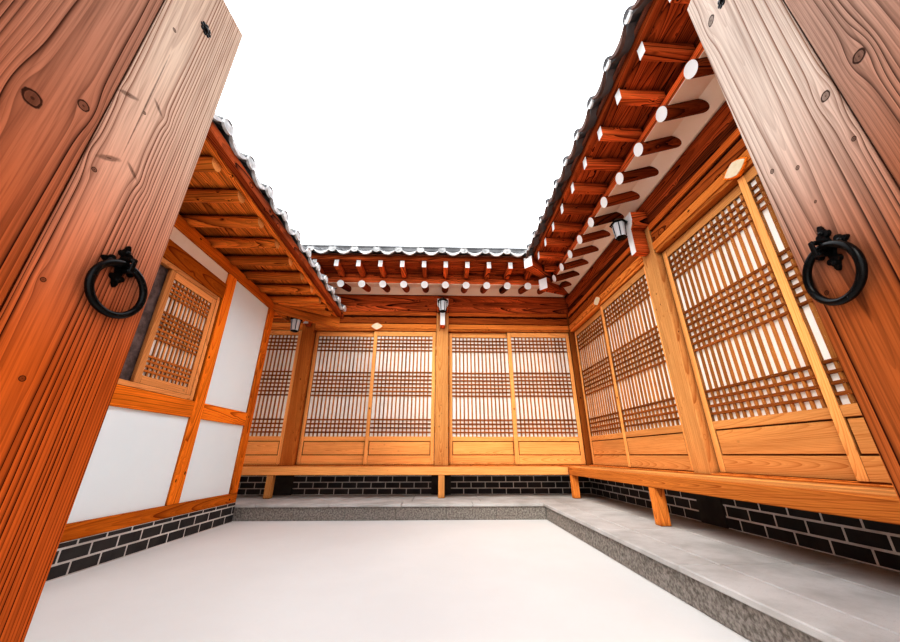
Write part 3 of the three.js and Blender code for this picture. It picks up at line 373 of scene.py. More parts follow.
# %% Gate planks
GATE_HEARTS = {"left": ((0.11, 0.06), (0.40, 0.15), (0.522, 0.10)),
               "right": ((0.1, 0.05), (0.34, 0.04), (0.597, 0.08))}
GATE_TINTS = (-0.3, 0.05, 0.5)
EYE, BRANCH = (0, 1, 0.9), 4.2
GATE_KNOTS = {
    "left": ((1, 0.375, 1.299, 0.013, *EYE), (1, 0.434, 1.361, 0.0095, *EYE),
             (2, 0.487, 1.468, 0.0050, 30, BRANCH, 0.3), (2, 0.548, 1.510, 0.0042, -38, BRANCH, 0.3),
             (2, 0.505, 1.305, 0.0055, 38, BRANCH, 0.3), (2, 0.552, 1.318, 0.0042, -38, BRANCH, 0.3),
             (2, 0.510, 1.740, 0.0045, *EYE), (2, 0.527, 1.465, 0.0035, *EYE), (2, 0.492, 1.261, 0.0045, *EYE),
             (2, 0.497, 1.02, 0.0040, *EYE), (2, 0.530, 0.856, 0.0045, *EYE),
             (2, 0.5235, 1.50, 0.0018, 90, 90, 0)),
    "right": ((2, 0.487, 1.368, 0.0085, *EYE), (2, 0.627, 1.873, 0.0120, *EYE), (1, 0.418, 1.369, 0.010, *EYE),
              (2, 0.647, 1.343, 0.0050, *EYE), (2, 0.592, 1.298, 0.0045, *EYE),
              (2, 0.483, 1.254, 0.0040, *EYE), (2, 0.590, 1.208, 0.0030, *EYE),
              (2, 0.648, 1.035, 0.0045, *EYE))}


def gate_wood(name, light, dark, rings, painted_sunlight, **grown):
    spots = [((across - GATE_HEARTS[name][plank][0], 0, z + PLANK_APART * plank), *shape)
             for plank, across, z, *shape in GATE_KNOTS[name]]
    return wood("gate_pine_" + name, light, dark, rings, 1.5, 0.0, 0.35, spots, painted_sunlight, Wander=0.03,
                Ripple=0.004, Fine=0.25, **grown)


# The paler colours each leaf takes above a height are a painted patch of sunlight.
GATE_WOOD = {
    "left": gate_wood("left", (0.64, 0.135, 0.022), (0.030, 0.003, 0.001), 225,
                      (0.85, 1.75, (0.83, 0.70, 0.57), (0.22, 0.09, 0.05), 0.45), Taper=0.004, Calm=0.8,
                      Cloud=0.7),
    "right": gate_wood("right", (0.48, 0.13, 0.032), (0.022, 0.003, 0.001), 125,
                       (0.95, 1.55, (0.85, 0.75, 0.65), (0.28, 0.16, 0.11), 0.5), Taper=0.012, Calm=0.4,
                       Cloud=1.1)}


# %% [markdown]
# ### Plaster, stone, brick, clay, paper, glass and iron
# These read Object coordinates, which here are simply metres in the house's frame. Lamp
# glass gives off a little light of its own, and thin paper a faint glow as painted light.

# %% Other finishes
def speckle(name, dark, light, scale, roughness, bump=0.3, fine=6.0, **shader):
    def look(tree):
        here = Wire(put(tree, "TexCoord").outputs["Object"])
        broad, small = here.noise(scale, 5.0, 0.6), here.noise(scale * fine * 8, 3.0, 0.7)
        mixed = broad.ease(0.3, 0.7).blend(dark, light)
        return small.ease(0.56, 0.72, 0.0, 0.5).blend(mixed, dark), small, roughness
    return material(name, look, bump=bump, **shader)


PLASTER = speckle("lime_plaster", (0.84, 0.94, 0.98), (0.88, 0.97, 1.0), 1.3, 0.92, 0.12)
EAVE_PLASTER = speckle("eave_plaster", (0.93, 0.76, 0.60), (0.97, 0.85, 0.72), 2.0, 0.92, 0.15)
GRANITE = speckle("dressed_granite", (0.36, 0.345, 0.325), (0.58, 0.565, 0.545), 2.2, 0.85, 0.35, 9.0)
MORTAR = speckle("brick_mortar", (0.50, 0.47, 0.44), (0.75, 0.72, 0.68), 4.0, 0.95, 0.3)
BRICK = speckle("dark_brick", (0.010, 0.009, 0.009), (0.032, 0.028, 0.027), 5.0, 0.8, 0.4)
RISER = speckle("kerb_riser", (0.11, 0.095, 0.08), (0.36, 0.325, 0.29), 55.0, 0.9, 0.8, 0.5)
# The blocks under the posts are coloured near black, as painted shade under the verandas.
SHADED_FOOTING = speckle("shaded_post_footing", (0.022, 0.017, 0.014), (0.05, 0.04, 0.034), 5.0, 0.9, 0.4)
CLAY = speckle("roof_clay", (0.055, 0.055, 0.058), (0.14, 0.14, 0.145), 2.5, 0.7, 0.3)
PALE_CLAY = speckle("eave_tile", (0.42, 0.43, 0.44), (0.80, 0.81, 0.81), 14.0, 0.8, 0.35)
END_CLAY = speckle("end_tile", (0.25, 0.255, 0.26), (0.56, 0.57, 0.57), 14.0, 0.8, 0.35)
SHADED_CLAY = speckle("brown_clay", (0.07, 0.035, 0.028), (0.16, 0.085, 0.066), 9.0, 0.8, 0.35)
WHITE = speckle("white_paint", (0.83, 0.82, 0.80), (0.93, 0.93, 0.92), 3.0, 0.7, 0.1)
# The door paper glows faintly, as painted light.
PAPER = speckle("door_paper", (0.88, 0.83, 0.77), (0.95, 0.91, 0.86), 3.0, 0.95, 0.06,
                Emission_Color=(1.0, 0.84, 0.70), Emission_Strength=0.12)
OLD_PAPER = speckle("window_paper", (0.75, 0.62, 0.53), (0.92, 0.82, 0.74), 3.0, 0.95, 0.06)
IRON = speckle("black_iron", (0.002, 0.002, 0.002), (0.005, 0.005, 0.005), 20.0, 0.25, 0.1,
               Specular_IOR_Level=0.12)
GLASS = material("door_glass", (0.02, 0.02, 0.02), 0.03, IOR=1.45, Alpha=0.03, Specular_IOR_Level=0.15)
LAMP_GLASS = material("lamp_glass", (0.75, 0.76, 0.77), 0.12, IOR=1.45, Alpha=0.6,
                      Emission_Color=(0.95, 0.97, 1.0), Emission_Strength=0.1)
# A dark sheet standing in the open half of the lower wing's window, as painted shade.
GAP_SHADE = speckle("grey_screen", (0.055, 0.035, 0.03), (0.16, 0.11, 0.10), 14.0, 0.9, 0.4)
CREAM = speckle("cream_paint", (0.80, 0.66, 0.42), (0.90, 0.78, 0.56), 12.0, 0.7, 0.1)
print("finishes:", len(bpy.data.materials))

# %% [markdown]
# ## A carpenter's kit
# Every timber is a short bmesh of its own: a cube or a cone, bevelled, with its grain
# written on its vertices, and then poured into the piece it belongs to. Working on small
# meshes keeps each operator fast.

# %% Making timbers
TURNS = {"x": (1, 2, 0), "y": (2, 0, 1), "z": (0, 1, 2)}


def bench():
    """An empty piece with layers for grain and tint."""
    work = bmesh.new()
    work.verts.layers.float_vector.new(GRAIN)
    work.verts.layers.float.new(TINT)
    return work


def benches(count):
    return [bench() for _ in range(count)]


def as_mesh(part, name):
    mesh = bpy.data.meshes.new(name)
    part.to_mesh(mesh)
    part.free()
    return mesh


def pour(part, work):
    """Adds one finished bmesh to a piece."""
    mesh = as_mesh(part, "part")
    work.from_mesh(mesh)
    bpy.data.meshes.remove(mesh)


def grow(part, along, tint=None):
    """Writes the grain of a part that lies along x, y or z."""
    grain = part.verts.layers.float_vector.new(GRAIN)
    shade = part.verts.layers.float.new(TINT)
    middle = sum((v.co for v in part.verts), Vector()) / len(part.verts)
    shift = Vector((random.uniform(-0.09, 0.09), random.uniform(-0.09, 0.09), random.uniform(0, 30)))
    depth = random.random() if tint is None else tint
    for v in part.verts:
        local = v.co - middle
        v[grain] = Vector([local[i] for i in TURNS[along]]) + shift
        v[shade] = depth
    return part


def bevel_edges(part, offset):
    bmesh.ops.bevel(part, geom=part.edges[:], offset=offset, affect="EDGES", segments=1, profile=0.5,
                    material=-1)


def move(part, matrix):
    bmesh.ops.transform(part, matrix=matrix, verts=part.verts)
    return part


def turned(degrees, axis="Z"):
    return Matrix.Rotation(math.radians(degrees), 4, axis)


def aimed(run, front="Z", top="Y"):
    """The turn that points an axis along a run."""
    return run.to_track_quat(front, top).to_matrix().to_4x4()


def block(low, high, bevel=0.004):
    """A squared bmesh from corner to corner with eased edges."""
    low, high = Vector(map(min, low, high)), Vector(map(max, low, high))
    part = bmesh.new()
    size = high - low
    place = Matrix.Translation((low + high) / 2) @ Matrix.Diagonal((*size, 1))
    bmesh.ops.create_cube(part, size=1, matrix=place)
    if bevel:
        bevel_edges(part, min(bevel, min(size) * 0.3))
    return part


def cone(low, high, depth, sides, place=Matrix.Identity(4)):
    """A capped cone or cylinder about z, then placed."""
    part = bmesh.new()
    bmesh.ops.create_cone(part, cap_ends=True, segments=sides, radius1=low, radius2=high, depth=depth,
                          matrix=place)
    return part


def beam(work, low, high, along=None, bevel=0.004, tint=None):
    size = [abs(b - a) for a, b in zip(low, high)]
    along = along or "xyz"[size.index(max(size))]
    pour(grow(block(low, high, bevel), along, tint), work)


def other(axis):
    return "y" if axis == "x" else "x"


def spot(axis, along, across, z=0):
    """A point by its place along a wing, which runs along x or y, and across it."""
    return (along, across, z) if axis == "x" else (across, along, z)


def wing_beam(work, axis, face, side, run, across, z, **how):
    """A beam placed by its run along a wing and its depth from the wing's face."""
    beam(work, *(spot(axis, run[i], face + side * across[i], z[i]) for i in (0, 1)), **how)


def log(work, start, end, radius, sides=20, tint=None):
    """A round timber from point to point."""
    start, end = Vector(start), Vector(end)
    run = end - start
    part = grow(cone(radius, radius, run.length, sides), "z", tint)
    pour(move(part, Matrix.Translation((start + end) / 2) @ aimed(run)), work)


def extrusion(outline, axis, start, end):
    """A closed prism over an outline of (across, z) points, drawn out along x or y. Each end is
    a distance or a function of the across coordinate."""
    part = bmesh.new()

    def at(a, z, limit):
        return spot(axis, limit(a) if callable(limit) else limit, a, z)
    face = part.faces.new([part.verts.new(at(a, z, start)) for a, z in outline])
    moved = bmesh.ops.extrude_face_region(part, geom=[face])["geom"]
    for v in (g for g in moved if isinstance(g, bmesh.types.BMVert)):
        v.co = at(v.co.y if axis == "x" else v.co.x, v.co.z, end)
    bmesh.ops.recalc_face_normals(part, faces=part.faces)
    return part


def prism(work, outline, axis, start, end, along, tint=None, bevel=0):
    """An extruded timber."""
    part = extrusion(outline, axis, start, end)
    if bevel:
        bevel_edges(part, bevel)
    pour(grow(part, along, tint), work)


def pairs(marks):
    """Each mark with the next one."""
    return list(zip(marks, marks[1:]))


def spaced(first, last, pitch):
    count = max(1, round(abs(last - first) / pitch))
    return [first + (last - first) * i / count for i in range(count + 1)]


def finish(work, name, finish_with, body="house", nodes=(), smooth_faces=False, place=None):
    """Turns a bench into an object that rides on a body and stands for CAD nodes. place is the
    matrix from the work's own axes to the court's."""
    if place:
        move(work, place)
        if place.determinant() < 0:
            bmesh.ops.reverse_faces(work, faces=work.faces)
    bmesh.ops.translate(work, verts=work.verts, vec=ORIGIN)
    mesh = as_mesh(work, name)
    mesh.materials.append(finish_with)
    if smooth_faces:
        mesh.shade_smooth()
        mesh.set_sharp_from_angle(angle=math.radians(35))
    piece = place_object(name, mesh)
    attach(piece, body)
    if nodes:
        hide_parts(*nodes)


# %% [markdown]
# ## The frames round the court
# Sill, posts, lintel and the beams over them, in the order the carpenter raises them. The
# beams over the lintel are darker than the posts, and a recessed strip between lintels is painted near black
# as painted shade.

# %% Court frames
TRACKS = (0.034, 0.078)
DOOR_THICK = 0.038
PURLIN_RADIUS, RAFTER_RADIUS = 0.11, 0.062
RAFTER_END_Z, RAFTER_SLOPE, RAFTER_INSET = 3.45, 0.32, 0.45
POST_TOP = 3.19


def purlin_z(overhang):
    lean = math.atan(RAFTER_SLOPE)
    rise = RAFTER_SLOPE * (overhang - RAFTER_INSET + POST / 2)
    underside = RAFTER_RADIUS * math.cos(math.pi / 8)
    return RAFTER_END_Z + rise - underside - (PURLIN_RADIUS + HAIR) / math.cos(lean)


def court_frame(axis, face, overhang, posts, ends, bays, heads, wing, sunny):
    """One wing's frame. bays are the clear spans between posts. The sunny posts are pale."""
    light, stood, pale, warm, dark = benches(5)
    put_light, put_warm, put_dark = (partial(wing_beam, work, axis, face, 1) for work in (light, warm, dark))
    put_light(ends, (0, POST), (BASE_TOP + 0.001, SILL_TOP - 0.008))
    for track in TRACKS:
        middle = track + DOOR_THICK / 2
        put_light(ends, (middle - 0.007, middle + 0.007), (SILL_TOP - 0.012, SILL_TOP), bevel=0.002)
    for p in posts:
        lit = p in sunny
        # The corner post is painted darker, as painted shade.
        wing_beam(pale if lit else stood, axis, face, 1, (p - POST / 2, p + POST / 2), (0, POST),
                  (SILL_TOP - 0.02, POST_TOP), bevel=0.007,
                  tint=0.2 if lit else -0.55 if p == CORNER_POST else 0.0)
    for bay in bays:
        put_light(bay, (0.012, POST - 0.01), (DOOR_HEAD, 2.895))
        put_light(bay, (0.0, 0.03), (2.868, 2.958), tint=0.75)
        put_light(bay, (0.03, POST - 0.01), (2.895, 2.97))
        put_warm(bay, (0.012, POST - 0.02), (2.974, 3.090), tint=0.15)
        # The recessed strip is painted near black, as painted shade.
        put_warm(bay, (0.03, POST - 0.02), (2.965, 3.13), tint=-1)
        put_warm(bay, (0.004, POST - 0.02), (3.124, 3.196), tint=0.75)
    centre = purlin_z(overhang)
    # The beam and purlin are tinted per wing, darker on the right wing as painted shade.
    beam_tint, purlin_tint = (0.35, -0.1) if axis == "x" else (-0.7, -0.35)
    put_dark(ends, (0.028, POST - 0.035), (3.206, 3.318), tint=beam_tint)
    put_dark(ends, (0.035, POST - 0.04), (POST_TOP, centre - 0.06), tint=-0.25)
    log(dark, *(spot(axis, end, face + POST / 2, centre) for end in ends), PURLIN_RADIUS, 28, tint=purlin_tint)
    for p in heads:
        for half, reach, level in ((0.1, 0.158, (3.185, 3.4)), (0.043, 0.156, (2.878, POST_TOP))):
            wing_beam(dark, axis, face, -1, (p - half, p + half), (-0.06, reach), level, along=other(axis))
    name = "court_posts_" + wing
    finish(pale, name, PALE_PINE, nodes=[f"frame_{wing}_court"])
    if stood.verts:
        finish(stood, name + "_shaded", POST_PINE)
    finish(light, name + "_rails", POST_PINE)
    finish(warm, name + "_lintels", BEAM_PINE)
    finish(dark, name + "_beams", DARK_PINE)


BACK_BAYS = {"end": (-2 * BAY + POST / 2, -BAY - POST / 2), "left": (-BAY + POST / 2, -POST / 2),
             "middle": (POST / 2, CORNER_POST - POST / 2)}
RIGHT_BAYS = {"near_corner": (RIGHT_POSTS[0] + POST / 2, 0.0),
              "near_gate": (RIGHT_POSTS[1] + POST / 2, RIGHT_POSTS[0] - POST / 2)}
LAST_POST = SOUTH_Y + POST / 2
court_frame("x", 0, BACK_OVERHANG, BACK_POSTS, (WEST_X, CORNER_POST + POST / 2), BACK_BAYS.values(), (-BAY, 0),
            "back", (0.0,))
court_frame("y", COURT_X, RIGHT_OVERHANG, (*RIGHT_POSTS, LAST_POST), (SOUTH_Y, -0.001),
            [*RIGHT_BAYS.values(), (LAST_POST + POST / 2, RIGHT_POSTS[1] - POST / 2)], RIGHT_POSTS,
            "right", (*RIGHT_POSTS, LAST_POST))


# %% Painted beam ends
def painted_ends():
    work = bench()
    half = [(0.1, 3.398), (0.1, 3.285), (0.085, 3.235), (0.05, 3.2), (0.042, 3.187), (0.042, 2.885)]
    for axis, face, places in (("x", 0, (-BAY, 0)), ("y", COURT_X, RIGHT_POSTS)):
        front = face - 0.158
        for p in places:
            outline = [(p + a, z) for a, z in half] + [(p - a, z) for a, z in half[::-1]]
            prism(work, outline, other(axis), front - 0.004, front + 0.004, "z")
    finish(work, "painted_beam_ends", WHITE)


painted_ends()

# %% [markdown]
# ## Sliding doors
# Each leaf is a frame of stiles and rails. Below is a sunk panel; above, a pane of glass
# covers a lattice of fifteen by twenty-six squares, backed with paper. The upright bars
# run the whole height, and the crossbars come in three bands.

# %% Door leaves
STILE, GROOVE = 0.062, 0.011
LATTICE, PANEL = (1.02, 2.735), (0.735, 0.95)
COLUMNS, ROWS = 15, 26
CROSSBARS = (*range(1, 5), *range(10, 17), *range(22, 26))
HALF_BAR, HALF_CROSSBAR = 0.0102, 0.0112


def widened(span, margin):
    return span[0] - margin, span[1] + margin


def lattice(uprights, crossbars, add, inner, height, columns, rows, crossed, half, cross_half, depths):
    """Upright bars over a field and the crossbars of the chosen rows, counted from its top."""
    step, rise = (inner[1] - inner[0]) / columns, (height[1] - height[0]) / rows
    for i in range(1, columns):
        p = inner[0] + i * step
        add(uprights, (p - half, p + half), depths[0], height, along="z", bevel=0.002)
    for row in crossed:
        z = height[1] - row * rise
        add(crossbars, inner, depths[1], (z - cross_half, z + cross_half), bevel=0.002)


def leaf(axis, face, span, track, name, sun):
    """sun is how much paler the rails and the panel are painted, as painted light."""
    timber, uprights, crossbars, glass, paper = benches(5)

    def add(work, run, across, z, along=axis, **how):
        wing_beam(work, axis, face, 1, run, (track + across[0], track + across[1]), z, along=along, **how)
    inner = widened(span, -STILE)
    bottom, top = SILL_TOP + 0.0005, DOOR_HEAD - 0.006
    for stile in ((span[0], inner[0]), (inner[1], span[1])):
        add(timber, stile, (0, DOOR_THICK), (bottom, top), along="z", bevel=0.003, tint=0.95)
    for level in ((bottom, PANEL[0]), (PANEL[1], LATTICE[0]), (LATTICE[1], top)):
        add(timber, inner, (0.003, DOOR_THICK - 0.001), level, bevel=0.003, tint=0.3 + sun)
    # The board behind the panel shows in its groove, painted dark as painted shade.
    add(timber, inner, (0.018, 0.026), widened(PANEL, 0.01), bevel=0, tint=-0.7)
    add(timber, widened(inner, -GROOVE), (0.006, 0.02), widened(PANEL, -GROOVE), bevel=0.003, tint=0.35 + sun)
    lattice(uprights, crossbars, add, inner, LATTICE, COLUMNS, ROWS, CROSSBARS, HALF_BAR, HALF_CROSSBAR,
            ((0.012, 0.0316), (0.0095, 0.0305)))
    for work, margin, depth in ((glass, 0.004, (0.006, 0.0085)), (paper, 0.002, (0.032, 0.034))):
        add(work, widened(inner, margin), depth, widened(LATTICE, margin), along=None, bevel=0)
    for work, piece, finish_with, nodes in (
            (timber, "leaf_", DOOR_PINE, ["door_" + name]), (uprights, "uprights_", LATTICE_PINE, ()),
            (crossbars, "crossbars_", SHADED_CROSSBAR_PINE, ()), (glass, "pane_", GLASS, ()),
            (paper, "paper_", PAPER, ())):
        finish(work, piece + name, finish_with, "leaf_" + name, nodes)


def keyhole(axis, face, p, z, name):
    """A small round plate on the stile that lies in front."""
    place = Matrix.Translation(spot(axis, p, face, z)) @ turned(90, axis.upper())
    work = bench()
    pour(cone(0.011, 0.011, 0.004, 16, place), work)
    finish(work, "keyhole_" + name, IRON, "leaf_" + name)


def all_leaves():
    for prefix, axis, face, bays, tracks, sun in (("back", "x", 0, BACK_BAYS, TRACKS[::-1], 0.6),
                                                  ("right", "y", COURT_X, RIGHT_BAYS, TRACKS, 0)):
        for bay, (start, end) in bays.items():
            middle = (start + end) / 2
            spans = ((start + 0.006, middle + 0.03), (middle - 0.03, end - 0.006))
            for letter, span, track in zip("ab", spans, tracks):
                name = f"{prefix}_{bay}_{letter}"
                leaf(axis, face, span, track, name, sun)
                if track == TRACKS[0] and bay != "near_gate":
                    p = span[1] - STILE / 2 if letter == "a" else span[0] + STILE / 2
                    keyhole(axis, face + track - 0.001, p, 1.46, name)


all_leaves()

# %% [markdown]
# ## Verandas
# Short boards lie across the joists behind a front beam that stands on stubby legs.

# %% Veranda decks
LEG, DECK_BOARD, DECK_ROWS, BOARD_GAP = 0.09, 1.2, 3, 0.0008


def deck(axis, face, start, end, legs, wing, front_finish, sun):
    work, rim = benches(2)
    add, add_rim = (partial(wing_beam, one, axis, face, -1) for one in (work, rim))
    top, front = VERANDA_TOP, VERANDA_REACH
    # The front beam is painted paler by sun, as painted light.
    add_rim((start, end), (front - LEG, front), (top - 0.102, top - 0.002), along=axis, bevel=0.006, tint=sun)
    add((start, end), (0.001, 0.06), (top - 0.102, top), along=axis, bevel=0.004)
    width = (front - LEG - 0.062) / DECK_ROWS
    for i in range(DECK_ROWS):
        a = 0.061 + i * width
        s = start
        while s < end - 0.01:
            e = min(end, s + DECK_BOARD)
            add(widened((s, e), -BOARD_GAP), widened((a, a + width), -BOARD_GAP), (top - 0.036, top - 0.002),
                along=axis, bevel=0.003)
            s = e
    for p in legs:
        add_rim(widened((p, p), LEG / 2), (front - LEG - 0.005, front - 0.005),
                (PLATFORM_TOP + 0.001, top - 0.1), along="z", bevel=0.005)
        add((p - 0.035, p + 0.035), (0.001, front - 0.03), (top - 0.09, top - 0.037), along=other(axis))
    finish(work, "deck_" + wing, DOOR_PINE, nodes=["veranda_" + wing])
    finish(rim, f"deck_{wing}_rim", front_finish)


deck("x", 0, WEST_X, COURT_X - VERANDA_REACH - 0.001, BACK_POSTS[:3], "back", DOOR_PINE, 0.9)
deck("y", COURT_X, RIGHT_POSTS[1] - POST / 2, -0.001, (-VERANDA_REACH - LEG / 2, *RIGHT_POSTS), "right",
     POST_PINE, 0.3)

# %% [markdown]
# ## Eaves of the main house
# Round rafters run out under beige plaster. On their ends sits a long board, and on that
# the square flying rafters, closed above by sheathing boards. All sawn ends are white.

# %% Eaves
FLYING_WIDTH, FLYING_HEIGHT, FLYING_BOTTOM, FLYING_INSET = 0.075, 0.12, 3.59, 0.11
RAFTER_TAIL, SOFFIT_BOARDS, SLAB_SET, PITCH = 0.45, 4, 0.05, 0.36
ROOF_EDGE_Z, ROOF_SLOPE, ROOF_CURVE, ROOF_THICK = 3.83, 0.42, 0.0588, 0.15
VALLEY_GAP = 0.15 / math.sqrt(2)


def eave(axis, face, side, overhang, start, end, last, cut, wing):
    """cut gives the nearest and farthest reach of a rafter of some half width at its place."""
    rafters, ends, plaster, bed = benches(4)
    tip, fly_tip = overhang - RAFTER_INSET, overhang - FLYING_INSET
    back = tip - 0.11
    fly_top = FLYING_BOTTOM + FLYING_HEIGHT
    edge = ROOF_EDGE_Z - 0.03

    def middle(o):
        return RAFTER_END_Z + RAFTER_SLOPE * (tip - o)

    def plank(work, profile, tint=None, bevel=0.003):
        """A long board with a section of (out, z) points."""
        prism(work, [(face + side * o, z) for o, z in profile], axis, start, end, axis, tint, bevel)
    plank(plaster, [(o, middle(o) + lift) for o, lift in (
        (tip - 0.03, 0.022), (-RAFTER_TAIL, 0.022), (-RAFTER_TAIL, 0.082), (tip - 0.03, 0.082))], bevel=0)
    plank(plaster, [(o, middle(o) + lift) for o, lift in (
        (-0.03, -0.1), (0.02, -0.1), (0.11, -0.035), (0.2, 0.03), (-0.03, 0.03))], bevel=0)
    plank(rafters, [(tip - 0.028, RAFTER_END_Z + 0.036), (back, RAFTER_END_Z + 0.072),
                    (back, FLYING_BOTTOM + 0.01), (tip - 0.028, FLYING_BOTTOM - 0.002)], 0.7)
    board = (fly_tip - 0.03 - back) / SOFFIT_BOARDS
    for i in range(SOFFIT_BOARDS):
        a, b = back + board * i, back + board * (i + 1) - 0.002
        low, high = fly_top - 0.012, fly_top + 0.014
        plank(rafters, [(b, low), (a, low), (a, high), (b, high)], -0.25)
    inner, low = back + 0.03, FLYING_BOTTOM
    plank(rafters, [(inner, low), (back, low), (back, fly_top), (inner, fly_top)])
    inner, outer = fly_tip - 0.058, fly_tip + 0.024
    plank(rafters, [(outer, fly_top + 0.001), (inner, fly_top + 0.001), (inner, edge), (outer, edge)], -0.2)
    inner, outer = fly_tip + 0.02, overhang - SLAB_SET
    plank(bed, [(outer, edge - 0.014), (inner, edge - 0.014), (inner, edge - HAIR), (outer, edge - HAIR)], 0.7)
    lean = Vector(spot(axis, 0, side, -RAFTER_SLOPE)).normalized()
    half = FLYING_WIDTH / 2
    for p in spaced(start + 0.06, last, PITCH):
        near, far = cut(p, RAFTER_RADIUS)
        s, e = max(-RAFTER_TAIL, near), min(tip, far)
        if e - s > 0.15:
            foot, head = (Vector(spot(axis, p, face + side * o, middle(o))) for o in (s, e))
            # The round rafters are painted darker, as painted shade under the eave.
            log(rafters, foot, head, RAFTER_RADIUS, tint=random.uniform(-0.75, -0.3))
            if e == tip:
                log(ends, head - lean * 0.004, head + lean * 0.003, RAFTER_RADIUS - 0.001, 24)
        near, far = cut(p, half)
        s, e = max(tip - 0.06, near), min(fly_tip, far)
        if e - s > 0.08:
            wing_beam(rafters, axis, face, side, (p - half, p + half), (s, e),
                      (FLYING_BOTTOM, fly_top - 0.012), along=other(axis))
            if e == fly_tip:
                wing_beam(ends, axis, face, side, widened((p, p), half - 0.002), (e - 0.003, e + 0.003),
                          (FLYING_BOTTOM + 0.001, fly_top - 0.002), bevel=0.002)
    name = "rafters_" + wing
    finish(rafters, name, DARK_PINE, nodes=["eave_" + wing], smooth_faces=True)
    finish(ends, name + "_ends", WHITE, smooth_faces=True)
    finish(plaster, name + "_plaster", EAVE_PLASTER)
    finish(bed, name + "_bed", WEATHERED_PINE)


def all_eaves():
    far = math.inf
    inside = MITRE - VALLEY_GAP
    eave("x", 0, -1, BACK_OVERHANG, ROOF_WEST, lambda y: y + inside, COURT_X + 0.2,
         lambda p, r: (-far, inside - r - p), "back_court")
    eave("x", BACK_DEPTH, 1, BACK_OVERHANG, ROOF_WEST, lambda y: y + MITRE - 0.001,
         EAST_X + RIGHT_OVERHANG - 0.1, lambda p, r: (p + r - MITRE - BACK_DEPTH, far), "back_rear")
    eave("y", COURT_X, -1, RIGHT_OVERHANG, ROOF_SOUTH, lambda x: x - MITRE - VALLEY_GAP, 0.2,
         lambda p, r: (-far, COURT_X - MITRE - VALLEY_GAP - r - p), "right_court")
    eave("y", EAST_X, 1, RIGHT_OVERHANG, ROOF_SOUTH, lambda x: x - MITRE - 0.001,
         BACK_DEPTH + BACK_OVERHANG - 0.1, lambda p, r: (p + r + MITRE - EAST_X, far), "right_outer")


all_eaves()


# %% Valley rafter
def valley():
    work, ends = benches(2)
    swing = Matrix.Translation((MITRE, 0, 0)) @ turned(-135)
    for outline in ([(-0.25, 3.659), (1.06, 3.318), (1.06, 3.52), (-0.25, 3.849)],
                    [(0.52, 3.62), (1.5, 3.55), (1.5, 3.745), (0.52, 3.8)]):
        pour(move(grow(extrusion(outline, "y", -0.075, 0.075), "x"), swing), work)
        (tip, low), (_, high) = outline[1:3]
        cap = block((tip - 0.002, -0.073, low + 0.002), (tip + 0.004, 0.073, high - 0.002), 0.002)
        pour(move(grow(cap, "z"), swing), ends)
    finish(work, "valley_beam", DARK_PINE, nodes=["valley_rafter"])
    finish(ends, "valley_beam_ends", WHITE)


valley()

# %% [markdown]
# ## Roof tiles
# Clay tiles lie in rows from ridge to eave: hollow tiles side by side, and round ones over
# their joints. One tile of each kind is shaped with a cone and a bent grid, then repeated.
# At the eave a round end tile closes each row, with a crescent drip tile between.

# %% One tile of each kind
TILE_PITCH, TILE_RUN, TILE_LAP = 0.345, 0.29, 0.02
COVER, TROUGH, END_DISC = 0.072, 0.285, (0.062, 0.82)


def cover_tile():
    """A half-round tile along +x, a little wider at its lower end."""
    place = Matrix.Translation((TILE_RUN / 2, 0, 0)) @ turned(90, "Y")
    part = cone(COVER, COVER * 0.9, TILE_RUN + TILE_LAP, 14, place)
    cut = bmesh.ops.bisect_plane(part, geom=part.verts[:] + part.edges[:] + part.faces[:], plane_co=(0, 0, 0),
                                 plane_no=(0, 0, -1), clear_outer=True)
    bmesh.ops.edgeloop_fill(part, edges=[e for e in cut["geom_cut"] if isinstance(e, bmesh.types.BMEdge)])
    bmesh.ops.recalc_face_normals(part, faces=part.faces)
    return part


def trough_tile():
    """A shallow hollow tile along +x."""
    part = bmesh.new()
    bmesh.ops.create_grid(part, x_segments=1, y_segments=6, size=0.5)
    for v in part.verts:
        along, side = v.co.x + 0.5, v.co.y * 2
        v.co = Vector((along * (TILE_RUN + TILE_LAP), v.co.y * TROUGH, 0.04 * side * side - 0.02 * along))
    bmesh.ops.solidify(part, geom=part.faces[:], thickness=0.018)
    bmesh.ops.recalc_face_normals(part, faces=part.faces)
    return part


def end_disc():
    """The oval face that closes a row, with a rim and a boss. It faces -x and leans back."""
    radius, flat = END_DISC
    part = cone(radius, radius, 0.024, 20, turned(-90, "Y"))
    front = min(part.faces, key=lambda f: f.calc_center_median().x)
    for thickness, depth in ((0.010, -0.006), (0.020, 0.0), (0.010, 0.005)):
        bmesh.ops.inset_region(part, faces=[front], thickness=thickness, depth=depth)
    place = Matrix.Translation((-0.02, 0, 0.022)) @ turned(25, "Y")
    return move(part, place @ Matrix.Diagonal((1, 1, flat, 1)))


def drip_tile():
    """The bowl of lime that closes a trough, facing -x and leaning back."""
    half, points = TROUGH * 0.42, 9
    ys = [half - i * 2 * half / (points - 1) for i in range(points)]

    def arc(row, top, sag):
        return [(y, top - sag * (1 - (y / half) ** 2)) for y in row]
    bowl = extrusion(arc(ys, 0.042, 0.036) + arc(ys[::-1], 0.034, 0.072), "x", -0.03, 0.0)
    return move(bowl, turned(22, "Y"))


COVER_ROW = as_mesh(cover_tile(), "cover"), as_mesh(end_disc(), "disc")
TROUGH_ROW = as_mesh(trough_tile(), "trough"), as_mesh(drip_tile(), "drip")


def stamp(work, mesh, place):
    copy = mesh.copy()
    copy.transform(place)
    work.from_mesh(copy)
    bpy.data.meshes.remove(copy)


# %% Laying the rows
SAG, SAG_RUN = 0.08, 0.87
UP = Vector((0, 0, 1))


def roof_top(d):
    return ROOF_EDGE_Z + ROOF_SLOPE * d + ROOF_CURVE * d * d


def sagging(height, sag):
    """A roof line whose lowest part leans down over the eave."""
    return lambda d: height(d) - sag * max(0.0, 1 - d / SAG_RUN)


